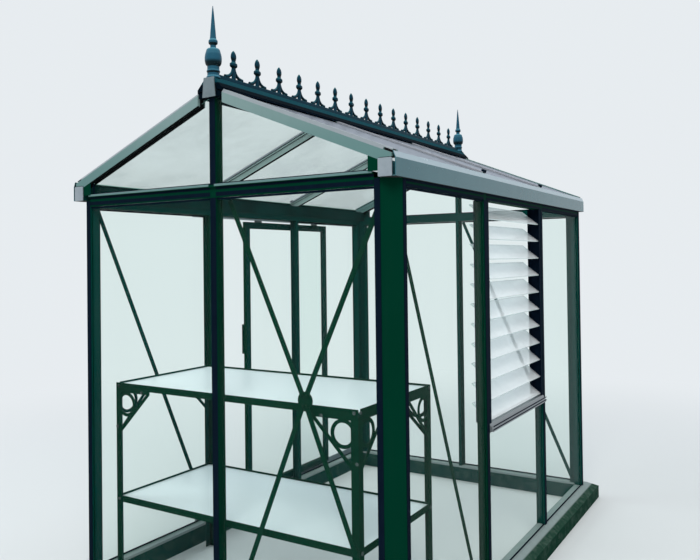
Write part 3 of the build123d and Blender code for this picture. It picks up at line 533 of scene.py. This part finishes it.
# Runs a tree on a list of (place, turn, stretch) and keeps the result as one plain piece of a body
def makePiece(name, tree, rows, body="house", sizes=None):
    mesh = bpy.data.meshes.new(name)
    mesh.from_pydata([row[0] for row in rows], [], [])
    for label, column in (("turn", 1), ("stretch", 2)):
        values = mesh.attributes.new(label, "FLOAT_VECTOR", "POINT")
        for point, row in zip(values.data, rows):
            point.vector = row[column]
    piece = bpy.data.objects.new(name, mesh)
    bpy.context.scene.collection.objects.link(piece)
    modifier = piece.modifiers.new("shape", "NODES")
    modifier.node_group = tree.nodeTree
    for label, (key, value) in tree.keys.items():
        modifier[key] = float((sizes or {}).get(label, value))
    result = bpy.data.meshes.new_from_object(piece.evaluated_get(bpy.context.evaluated_depsgraph_get()))
    piece.modifiers.clear()
    piece.data = result
    result.name = name
    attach(piece, body)
    print("piece:", name, len(result.polygons), "faces")
    return piece


def turned(side, outward, along):  # euler angles that lay X, Y and Z of a shape along three directions
    return tuple(Matrix((side, outward, along)).transposed().to_euler())


# A straight length from start to end, whose Y looks outward; wide stretches it sideways
def length(start, end, outward, wide=1.0):
    start, end, outward = Vector(start), Vector(end), Vector(outward).normalized()
    along = (end - start).normalized()
    side = outward.cross(along)
    return start, turned(side, outward, along), (wide, 1.0, (end - start).length)


# A fixing at a place, whose Z looks outward; spin turns it on its own axis
def fixing(place, outward, spin=0.0, scale=1.0):
    outward = Vector(outward).normalized()
    side = outward.orthogonal().normalized()
    side = Matrix.Rotation(spin, 3, outward) @ side
    return Vector(place), turned(side, outward.cross(side), outward), (scale, scale, scale)


# Straight strips with rounded edges: black glazing caps, seals and the metal caps of the roof bars
def stripTree(name, sizes, finish):
    tree = Shapes(name, sizes)
    values = {"Width": tree.size("Width"), "Height": tree.size("Proud") + tree.size("Sunk")}
    outline = tree.add("GeometryNodeCurvePrimitiveQuadrilateral", None, values)
    offset = tree.vector(0, (tree.size("Proud") - tree.size("Sunk")) / 2, 0)
    rounding = {
        "Curve": tree.moved(outline, offset), "Count": 2,
        "Radius": tree.size("Round"), "Limit Radius": True,
    }
    outline = tree.add("GeometryNodeFilletCurve", {"mode": "POLY"}, rounding)
    return tree.scatter(tree.solid(outline), finish)


wall = {
    "x": 0.748, "y": 1.128, "post": 0.370, "sill": 0.0925, "eave": 1.6095, "tie": 1.6565, "ridge": 1.9735,
    "corner": 1.634, "track": 1.600,
}
capSizes = {"Width": 0.0265, "Proud": 0.0020, "Sunk": 0.0010, "Round": 0.0011}
cornerCapSizes = {"Width": 0.0215, "Proud": 0.0020, "Sunk": 0.0010, "Round": 0.0011}
cornerCapPlace = 0.0632  # from the corner to the middle of the cap on each flank


def makeGlazingCaps():
    tree = stripTree("glazingCapShape", capSizes, "capRubber")
    rows = []
    for side in (1, -1):
        for y in (-wall["post"], wall["post"]):
            top = wall["eave"] if side > 0 else wall["track"]
            x = side * wall["x"]
            rows.append(length((x, y, wall["sill"]), (x, y, top), (side, 0, 0)))
        y = side * wall["y"]
        rows.append(length((0, y, wall["sill"]), (0, y, wall["eave"]), (0, side, 0)))
        rows.append(length((0, y, wall["tie"]), (0, y, wall["ridge"]), (0, side, 0)))
    makePiece("glazingCaps", tree, rows)
    corners = []
    for sideX in (1, -1):
        for sideY in (1, -1):
            x, y = sideX * wall["x"], sideY * wall["y"]
            inX, inY = sideX * (wall["x"] - cornerCapPlace), sideY * (wall["y"] - cornerCapPlace)
            top = wall["corner"] if sideX > 0 else wall["track"]
            corners.append(length((x, inY, wall["sill"]), (x, inY, top), (sideX, 0, 0)))
            corners.append(length((inX, y, wall["sill"]), (inX, y, wall["corner"]), (0, sideY, 0)))
    makePiece("cornerCaps", tree, corners, sizes=cornerCapSizes)


makeGlazingCaps()


# Rubber seals along the edges of the wall and gable panes, and under the ridge flanges
sealSizes = {"Width": 0.0075, "Proud": 0.0035, "Sunk": 0.0, "Round": 0.0015}
sealPlace = {
    "side": 0.7417, "low": 0.0965, "high": 1.6055, "louvre": 0.6825,  # long walls
    "bayFrom": 0.386, "bayTo": 1.052, "middle": 0.354,
    "gable": 1.1217, "upper": 1.1175, "upperFoot": 1.6605, "centre": 0.016, "reach": 0.672,  # gables
    "upperReach": 0.655, "edge": 0.6575, "edgeFoot": 1.658, "edgeTop": 1.703,
}
ridgeSeal = {"x": 0.0612, "z": 1.9965, "reach": 1.086}


def makeSeals():
    tree = stripTree("sealShape", sealSizes, "capRubber")
    rows = []
    p = sealPlace
    for side in (1, -1):
        bays = [(-p["bayTo"], -p["bayFrom"], p["high"]), (p["bayFrom"], p["bayTo"], p["high"])]
        if side > 0:
            bays.append((-p["middle"], p["middle"], p["louvre"]))
        x = side * p["side"]
        for start, end, top in bays:
            for z in (p["low"], top):
                rows.append(length((x, start, z), (x, end, z), (side, 0, 0)))
    for sideY in (1, -1):
        y, upperY, outward = sideY * p["gable"], sideY * p["upper"], (0, sideY, 0)
        for sideX in (1, -1):
            centre, edge = sideX * p["centre"], sideX * p["edge"]
            for z in (p["low"], p["high"]):
                rows.append(length((centre, y, z), (sideX * p["reach"], y, z), outward))
            upperEnd = (sideX * p["upperReach"], upperY, p["upperFoot"])
            rows.append(length((centre, upperY, p["upperFoot"]), upperEnd, outward))
            rows.append(length((edge, y, p["edgeFoot"]), (edge, y, p["edgeTop"]), outward))
    for side in (1, -1):
        x, z, reach = side * ridgeSeal["x"], ridgeSeal["z"], ridgeSeal["reach"]
        rows.append(length((x, -reach, z), (x, reach, z), roofAcross["right" if side > 0 else "left"]))
    makePiece("paneSeals", tree, rows)


makeSeals()


# Along each tie and eave beam: a pale strip on the ledge of the tie, a painted highlight along its top
# edge, and black seals;
# also two black lines on the face of the louvre sill, painted shade in its two grooves
tieHighlightSizes = {"Width": 0.0085, "Proud": 0.0012, "Sunk": 0.0, "Round": 0.0005}
bandSizes = {"Width": 0.0060, "Proud": 0.0012, "Sunk": 0.0, "Round": 0.0004}
tiePlace = {
    "near": 0.0140, "far": 0.672, "ledge": 1.1373, "tieHighlight": 1.6543, "band": 1.6445, "bandWide": 1.6,
    "low": 1.6225, "lowWide": 2.4,
}
eavePlace = {
    "bays": ((-1.05, -0.385), (-0.355, 0.355), (0.385, 1.05)),
    "bands": ((1.6315, 1.5), (1.6150, 1.8)),  # height and stretch
}
sillPlace = {"x": 0.764, "reach": 0.354, "lines": (0.7085, 0.6955), "wide": 0.8}


def makeBeamTrim():
    tieHighlight = stripTree("beadShape", tieHighlightSizes, "vergeCoat")
    band = stripTree("bandShape", bandSizes, "capRubber")
    tieHighlights, bands = [], []
    p = tiePlace
    for sideY in (1, -1):
        for sideX in (1, -1):
            start, end, outward = sideX * p["near"], sideX * p["far"], (0, sideY, 0)
            y, wallY = sideY * p["ledge"], sideY * wall["y"]
            # painted highlight: a pale strip along the ledge of the tie
            tieHighlights.append(length((start, y, p["tieHighlight"]), (end, y, p["tieHighlight"]), outward))
            for z, wide in ((p["band"], p["bandWide"]), (p["low"], p["lowWide"])):
                bands.append(length((start, wallY, z), (end, wallY, z), outward, wide))
    for side in (1, -1):
        x = side * wall["x"]
        for start, end in eavePlace["bays"]:
            for z, wide in eavePlace["bands"]:
                bands.append(length((x, start, z), (x, end, z), (side, 0, 0), wide))
    # painted shade: black lines in the two grooves of the sill face
    s = sillPlace
    for z in s["lines"]:
        bands.append(length((s["x"], -s["reach"], z), (s["x"], s["reach"], z), (1, 0, 0), s["wide"]))
    makePiece("tieHighlightStrips", tieHighlight, tieHighlights)
    makePiece("beamSeals", band, bands)


makeBeamTrim()


# Metal caps over the roof bars, from the ridge flange down to the gutter
roofCapSizes = {"Width": 0.0312, "Proud": 0.0015, "Sunk": 0.0062, "Round": 0.0012}
roofPlane = {"apex": 2.0222, "tan": math.tan(slope), "top": 0.0645, "bottom": 0.7440}


def roofPoint(x, y):
    return (x, y, roofPlane["apex"] - abs(x) * roofPlane["tan"])


def makeRoofCaps():
    tree = stripTree("roofCapShape", roofCapSizes, "roofCapMetal")
    rows = []
    for side in (1, -1):
        for y in (-wall["post"], wall["post"]):
            top, bottom = roofPoint(side * roofPlane["top"], y), roofPoint(side * roofPlane["bottom"], y)
            rows.append(length(top, bottom, roofAcross["right" if side > 0 else "left"]))
    makePiece("roofBarCaps", tree, rows)


makeRoofCaps()


# Black holders that grip both ends of each louvre slat
holderSizes = {"Width": 0.064, "Proud": 0.0025, "Sunk": 0.0075, "Round": 0.0028}
louvre = {
    "slats": 11, "first": 1.538, "pitch": 0.081, "tip": 0.745, "lip": 0.002, "end": 0.3326, "grip": 0.0050,
}


def makeHolders():
    tree = stripTree("holderShape", holderSizes, "capRubber")
    rows = []
    run = Vector((-math.cos(tilt), 0, math.sin(tilt)))
    for k in range(louvre["slats"]):
        tip = Vector((louvre["tip"], 0, louvre["first"] - louvre["pitch"] * k))
        middle = tip + run * (holderSizes["Width"] / 2 - louvre["lip"])
        for side in (1, -1):
            start = middle + Vector((0, side * louvre["end"], 0))
            rows.append(length(start, start - Vector((0, side * louvre["grip"], 0)), slatAcross))
    makePiece("louvreHolders", tree, rows)


makeHolders()
print("stage: caps, seals and louvre holders made")


# Hexagon bolts on washers, and round-headed screws
boltSizes = {"Head": 0.0062, "Tall": 0.0042, "Washer": 0.0088, "Thin": 0.0013}
boltShape = {
    "washerSides": 14, "headSides": 6, "shankSides": 8, "under": -0.0004,
    "shank": 0.52, "reach": 1.35,  # shares of the head's width and height
}
screwSizes = {"Head": 0.0050, "Tall": 0.55}


def boltTree(finish):
    tree = Shapes("boltShape", boltSizes)
    thin, tall, wide = tree.size("Thin"), tree.size("Tall"), tree.size("Head")
    washer = tree.cylinder(boltShape["washerSides"], tree.size("Washer"), boltShape["under"], thin)
    head = tree.cylinder(boltShape["headSides"], wide, thin * 0.5, thin + tall)
    reach = thin + tall * boltShape["reach"]
    shank = tree.cylinder(boltShape["shankSides"], wide * boltShape["shank"], 0.0, reach)
    return tree.scatter(tree.joined(washer, head, shank), finish)


def screwTree(finish):
    tree = Shapes("screwShape", screwSizes)
    values = {"Segments": 12, "Rings": 6, "Radius": tree.size("Head")}
    ball = tree.add("GeometryNodeMeshUVSphere", None, values)
    flat = tree.moved(ball, scale=tree.vector(1, 1, tree.size("Tall")))
    return tree.scatter(tree.smooth(flat), finish)


def mirroredRows(rows):  # each (place, outward) and its three copies across the two middle planes
    result = []
    for place, outward in rows:
        for sideX in (1, -1):
            for sideY in (1, -1):
                at = (place[0] * sideX, place[1] * sideY, place[2])
                result.append(fixing(at, (outward[0] * sideX, outward[1] * sideY, outward[2])))
    return result


brace = {
    "left": 0.042, "right": 0.688, "centre": 0.365, "middle": 0.9, "top": 1.6, "bottom": 0.110,  # front
    "ring": 0.0205, "share": 0.45, "face": 1.0857, "plate": 1.0773, "back": 1.0817,
    "inX": 0.004, "inZ": 0.008, "rearSpin": 0.4,  # rear
    "side": 0.7017, "sideEnds": ((-1.064, 1.591), (-0.416, 0.119)), "sideSpin": 0.2,  # long walls
}
bench = {
    "left": -0.655, "right": 0.538, "front": -1.018, "back": -0.455, "in": 0.0155, "bolt": 0.75,
    "rims": (0.8605, 0.3875), "brackets": ((0.150, 0.8405, 0.3), (0.0065, 0.690, 0.9)),
}


def makeBolts():
    rows = []
    b = brace
    ends = [(x, z) for z in (b["top"], b["bottom"]) for x in (b["left"], b["right"])]
    for x, z in ends:
        away = Vector((x - b["centre"], 0, z - b["middle"])).normalized() * b["ring"]
        for y, outward in ((-b["face"], -1), (-b["plate"], 1)):
            place = (b["centre"] + away.x, y, b["middle"] + away.z)
            rows.append(fixing(place, (0, outward, 0), x + z))
        near = Vector((x, 0, z)) - away * b["share"]
        rows.append(fixing((near.x, -b["face"], near.z), (0, -1, 0), x))
        rows.append(fixing((near.x, -b["back"], near.z), (0, 1, 0), z))
    rear = [(b["left"] + b["inX"], b["top"] - b["inZ"]), (b["right"] - b["inX"], b["bottom"] + b["inZ"])]
    for x, z in rear:
        rows.append(fixing((x, b["back"], z), (0, -1, 0), b["rearSpin"]))
    for side in (1, -1):
        for y, z in b["sideEnds"]:
            rows.append(fixing((side * b["side"], y, z), (-side, 0, 0), b["sideSpin"]))
    makePiece("braceBolts", boltTree("greenCoat"), rows)
    rows = []
    b = bench
    for z in b["rims"]:
        for x in (b["left"], b["right"]):
            inX = x + (b["in"] if x < 0 else -b["in"])
            rows.append(fixing((inX, b["front"], z), (0, -1, 0), z, b["bolt"]))
            rows.append(fixing((inX, b["back"], z), (0, 1, 0), z, b["bolt"]))
            for y in (b["front"] + b["in"], b["back"] - b["in"]):
                rows.append(fixing((x, y, z), (1 if x > 0 else -1, 0, 0), y, b["bolt"]))
    for x in (b["left"], b["right"]):
        step = 1 if x < 0 else -1
        for y, outward in ((b["front"], -1), (b["back"], 1)):
            for inX, z, spin in b["brackets"]:
                rows.append(fixing((x + step * inX, y, z), (0, outward, 0), spin, b["bolt"]))
    makePiece("benchBolts", boltTree("zincSteel"), rows)


# Place and outward direction of the base and sill screws of one quarter, and the other rows of screws
quarterScrews = [
    ((0.808, 1.140, 0.031), (1, 0, 0)),
    ((0.808, 0.370, 0.031), (1, 0, 0)),
    ((0.760, 1.188, 0.031), (0, 1, 0)),
    ((0.786, 1.070, 0.0766), (0.461, 0, 0.887)),
    ((0.786, 0.370, 0.0766), (0.461, 0, 0.887)),
    ((0.700, 1.166, 0.0766), (0, 0.461, 0.887)),
    ((0.040, 1.166, 0.0766), (0, 0.461, 0.887)),
]
channelScrews = {"y": 0.344, "heights": (0.80, 1.17, 1.54), "scale": 0.6, "head": 0.0044}
trackScrews = {"x": -0.7830, "z": 1.6185, "first": -0.36, "pitch": 0.245, "count": 7, "head": 0.0040}
leafScrews = {
    "x": -0.7760, "stiles": (-0.025, 0.729), "heights": (0.116, 0.134, 1.562, 1.580), "scale": 0.8,
}


def makeScrews():
    channel, track, leaf = channelScrews, trackScrews, leafScrews
    rows = mirroredRows(quarterScrews)
    for side in (1, -1):
        for z in channel["heights"]:
            place = (wall["x"], side * channel["y"], z)
            rows.append(fixing(place, (1, 0, 0), scale=channel["scale"]))
    makePiece("frameScrews", screwTree("greenCoat"), rows, sizes={"Head": channel["head"]})
    rows = []
    for k in range(track["count"]):
        rows.append(fixing((track["x"], track["first"] + track["pitch"] * k, track["z"]), (-1, 0, 0)))
    trackTree = screwTree("ridgeCapMetal")
    makePiece("trackScrews", trackTree, rows, sizes={"Head": track["head"]})
    rows = []
    for y in leaf["stiles"]:
        for z in leaf["heights"]:
            rows.append(fixing((leaf["x"], y, z), (-1, 0, 0), scale=leaf["scale"]))
    makePiece("doorScrews", screwTree("zincSteel"), rows, body="door")


makeBolts()
makeScrews()


# Dark clips over the gutter at the foot of each roof bar
clipSizes = {"Width": 0.018, "Proud": 0.0100, "Sunk": 0.0020, "Round": 0.0018}
clipPlace = {"top": 0.736, "foot": 0.7505}


def makeGutterClips():
    tree = stripTree("clipShape", clipSizes, "capRubber")
    rows = []
    for side in (1, -1):
        for y in (-wall["post"], wall["post"]):
            start, end = roofPoint(side * clipPlace["top"], y), roofPoint(side * clipPlace["foot"], y)
            rows.append(length(start, end, roofAcross["right" if side > 0 else "left"]))
    makePiece("gutterClips", tree, rows)


makeGutterClips()
print("stage: bolts, screws and clips made")


# Castings on the ridge: a turned form drawn up along Z from an outline of half widths, then flattened
def spindle(tree, outline, steps, sides):
    up = tree.vector(0, 0, tree.size("Height"))
    line = tree.add("GeometryNodeCurvePrimitiveLine", None, {"End": up})
    line = tree.add("GeometryNodeResampleCurve", None, {"Curve": line, "Count": steps})
    place = tree.add("GeometryNodeSplineParameter", output="Factor")
    half = tree.add("ShaderNodeFloatCurve", {"outline": outline}, {"Value": place}) * tree.size("Width")
    circle = tree.add("GeometryNodeCurvePrimitiveCircle", None, {"Resolution": sides, "Radius": 1.0})
    return tree.moved(tree.swept(line, circle, half), scale=tree.vector(tree.size("Flat"), 1, 1))


finialSizes = {"Height": 0.2660, "Width": 0.0310, "Flat": 1.0}
finialOutline = [
    (0.0, 0.84), (0.018, 0.84), (0.028, 0.73), (0.075, 0.71), (0.085, 0.79), (0.105, 0.79),  # plinth, ring
    (0.115, 0.71), (0.165, 0.71), (0.180, 0.84), (0.215, 0.96), (0.265, 1.0), (0.310, 0.97),  # ball
    (0.350, 0.89), (0.385, 0.80), (0.405, 0.74), (0.412, 0.36), (0.465, 0.34), (0.475, 0.54),  # neck
    (0.520, 0.54), (0.535, 0.40), (0.660, 0.30), (0.800, 0.20), (0.930, 0.10), (1.0, 0.03),  # collar, spike
]
finialPlace = {"y": 1.120, "z": 2.0464}
finialMesh = {"steps": 90, "sides": 26}


def makeFinials():
    tree = Shapes("finialShape", finialSizes)
    tree.scatter(tree.smooth(spindle(tree, finialOutline, **finialMesh)), "castCoat")
    rows = [fixing((0, side * finialPlace["y"], finialPlace["z"]), (0, 0, 1)) for side in (1, -1)]
    piece = makePiece("castFinials", tree, rows)
    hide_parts("ridge_finials")


crestSizes = {"Height": 0.1090, "Width": 0.0195, "Flat": 0.50, "Foot": 0.050, "Rise": 0.038, "Rib": 0.0068}
crestOutline = [
    (0.0, 0.60), (0.22, 0.54), (0.34, 0.52), (0.40, 0.58), (0.43, 0.86), (0.47, 1.0), (0.52, 1.0),
    (0.56, 0.88), (0.59, 0.58), (0.63, 0.54), (0.70, 0.66), (0.78, 0.74), (0.87, 0.64), (0.95, 0.36),
    (1.0, 0.04),
]
crestPlace = {"first": -1.008, "pitch": 0.1415, "count": 15, "rail": 2.0464, "foot": 2.0654, "reach": 1.098}
crestMesh = {"steps": 46, "sides": 14}
railSizes = {"Width": 0.0100, "Proud": 0.0205, "Sunk": 0.0, "Round": 0.0030}


def makeCresting():
    tree = Shapes("crestShape", crestSizes)
    spear = spindle(tree, crestOutline, **crestMesh)
    values = {"Resolution": 10, "Radius": tree.size("Rib")}
    ring = tree.add("GeometryNodeCurvePrimitiveCircle", None, values)
    legs = []
    for side in (1, -1):
        foot, rise = tree.size("Foot") * side, tree.size("Rise")
        ends = {
            "Resolution": 10,
            "Start": tree.vector(0, foot, tree.size("Rib") * 0.4),
            "Middle": tree.vector(0, foot * 0.25, tree.size("Rib") * 0.8),
            "End": tree.vector(0, foot * 0.11, rise),
        }
        path = tree.add("GeometryNodeCurveQuadraticBezier", None, ends)
        taper = 1.15 - tree.add("GeometryNodeSplineParameter", output="Factor") * 0.35
        legs.append(tree.moved(tree.swept(path, ring, taper), scale=(0.75, 1, 1)))
    tree.scatter(tree.smooth(tree.joined(spear, *legs)), "crestCoat")
    p = crestPlace
    places = [(0, p["first"] + p["pitch"] * k, p["foot"]) for k in range(p["count"])]
    rows = [(place, (0, 0, 0), (1, 1, 1)) for place in places]
    crest = makePiece("castCresting", tree, rows)
    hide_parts("ridge_cresting")
    rail = stripTree("crestRailShape", railSizes, "crestCoat")
    row = length((0, -p["reach"], p["rail"]), (0, p["reach"], p["rail"]), (0, 0, 1))
    makePiece("crestRail", rail, [row])


makeFinials()
makeCresting()
print("stage: ridge castings made")


# Stage: pale floor that fades into the backdrop, soft lamps, and the camera of the photograph
stageSetup = {
    "backdrop": (0.80, 0.84, 0.87), "floor": (0.62, 0.64, 0.64),
    "ambient": (0.86, 0.93, 1.0), "ambientStrength": 0.62,
    "fadeFrom": 1.9, "fadeTo": 5.5, "radius": 40.0, "rings": 96,
}


def makeFloor(values):
    rings = values["rings"]
    points = [(0, 0, 0)]
    for k in range(rings):
        turn = 2 * math.pi * k / rings
        points.append((values["radius"] * math.cos(turn), values["radius"] * math.sin(turn), 0))
    faces = [(0, 1 + k, 1 + (k + 1) % rings) for k in range(rings)]
    mesh = bpy.data.meshes.new("floor")
    mesh.from_pydata(points, [], faces)
    floor = bpy.data.objects.new("floor", mesh)
    bpy.context.scene.collection.objects.link(floor)
    tree = Shade("floorSurface")
    x, y, _ = tree.axes()
    distance = (x * x + y * y) ** 0.5
    ground = tree.surface({"Base Color": values["floor"], "Roughness": 0.9, "Specular IOR Level": 0.1})
    glow = tree.add("ShaderNodeEmission", None, {"Color": values["backdrop"], "Strength": 1.0})
    shader = tree.mixed(tree.rise(distance, values["fadeFrom"], values["fadeTo"]), ground, glow)
    mesh.materials.append(tree.done(shader))


def makeWorld(values):
    world = bpy.data.worlds.new("studio")
    bpy.context.scene.world = world
    world.use_nodes = True
    tree = Tree(world.node_tree)
    path = tree.add("ShaderNodeLightPath")
    seen = path.port("Is Camera Ray").most(path.port("Is Glossy Ray"))
    seen = seen.most(path.port("Is Transmission Ray"))
    glow = {"Color": values["ambient"], "Strength": values["ambientStrength"]}
    light = tree.add("ShaderNodeBackground", None, glow)
    back = tree.add("ShaderNodeBackground", None, {"Color": values["backdrop"], "Strength": 1.0})
    mixer = tree.add("ShaderNodeMixShader", None, {0: seen, 1: light, 2: back})
    tree.add("ShaderNodeOutputWorld", None, {"Surface": mixer})


lamps = {
    "keyLamp": {"place": (3.5, -6.5, 7.5), "size": 5.0, "power": 560, "color": (1.0, 0.97, 0.93)},
    "fillLamp": {"place": (-7.0, -3.0, 5.0), "size": 5.0, "power": 220, "color": (0.93, 0.97, 1.0)},
    "skyLamp": {"place": (0.5, 3.5, 9.0), "size": 6.0, "power": 300, "color": (0.95, 0.98, 1.0)},
}
lampTarget = (0, 0, 1.0)


def areaLamp(name, values):
    lamp = bpy.data.lights.new(name, "AREA")
    lamp.shape = "DISK"
    lamp.size = values["size"]
    lamp.energy = values["power"]
    lamp.color = values["color"]
    holder = bpy.data.objects.new(name, lamp)
    bpy.context.scene.collection.objects.link(holder)
    holder.location = values["place"]
    aim = Vector(lampTarget) - Vector(values["place"])
    holder.rotation_euler = aim.to_track_quat("-Z", "Y").to_euler()
    holder.visible_glossy = False


cameraSetup = {
    "place": (1.8053, -3.1061, 1.38), "yaw": -31.7302, "pitch": 0.7526, "roll": -0.7041,
    "focal": 724.875, "middleRow": 249.82, "width": 700, "height": 560, "sensor": 36.0,
    "near": 0.05, "far": 200,
}


def makeCamera(values):
    yaw, pitch, roll = (math.radians(values[key]) for key in ("yaw", "pitch", "roll"))
    ahead = Vector((math.sin(yaw) * math.cos(pitch), math.cos(yaw) * math.cos(pitch), math.sin(pitch)))
    level = ahead.cross(Vector((0, 0, 1))).normalized()
    side = (Matrix.Rotation(-roll, 3, ahead) @ level).normalized()
    top = side.cross(ahead)
    data = bpy.data.cameras.new("photoCamera")
    data.sensor_width = values["sensor"]
    data.lens = values["focal"] / values["width"] * values["sensor"]
    data.shift_y = (values["middleRow"] - values["height"] / 2) / values["width"]
    data.clip_start = values["near"]
    data.clip_end = values["far"]
    holder = bpy.data.objects.new("photoCamera", data)
    bpy.context.scene.collection.objects.link(holder)
    turn = Matrix((side, top, -ahead)).transposed().to_4x4()
    holder.matrix_world = Matrix.Translation(values["place"]) @ turn
    bpy.context.scene.camera = holder


makeFloor(stageSetup)
makeWorld(stageSetup)
for lampName, lampValues in lamps.items():
    areaLamp(lampName, lampValues)
makeCamera(cameraSetup)
bpy.context.scene.view_settings.view_transform = "Standard"
print("stage: camera, lamps and floor set")
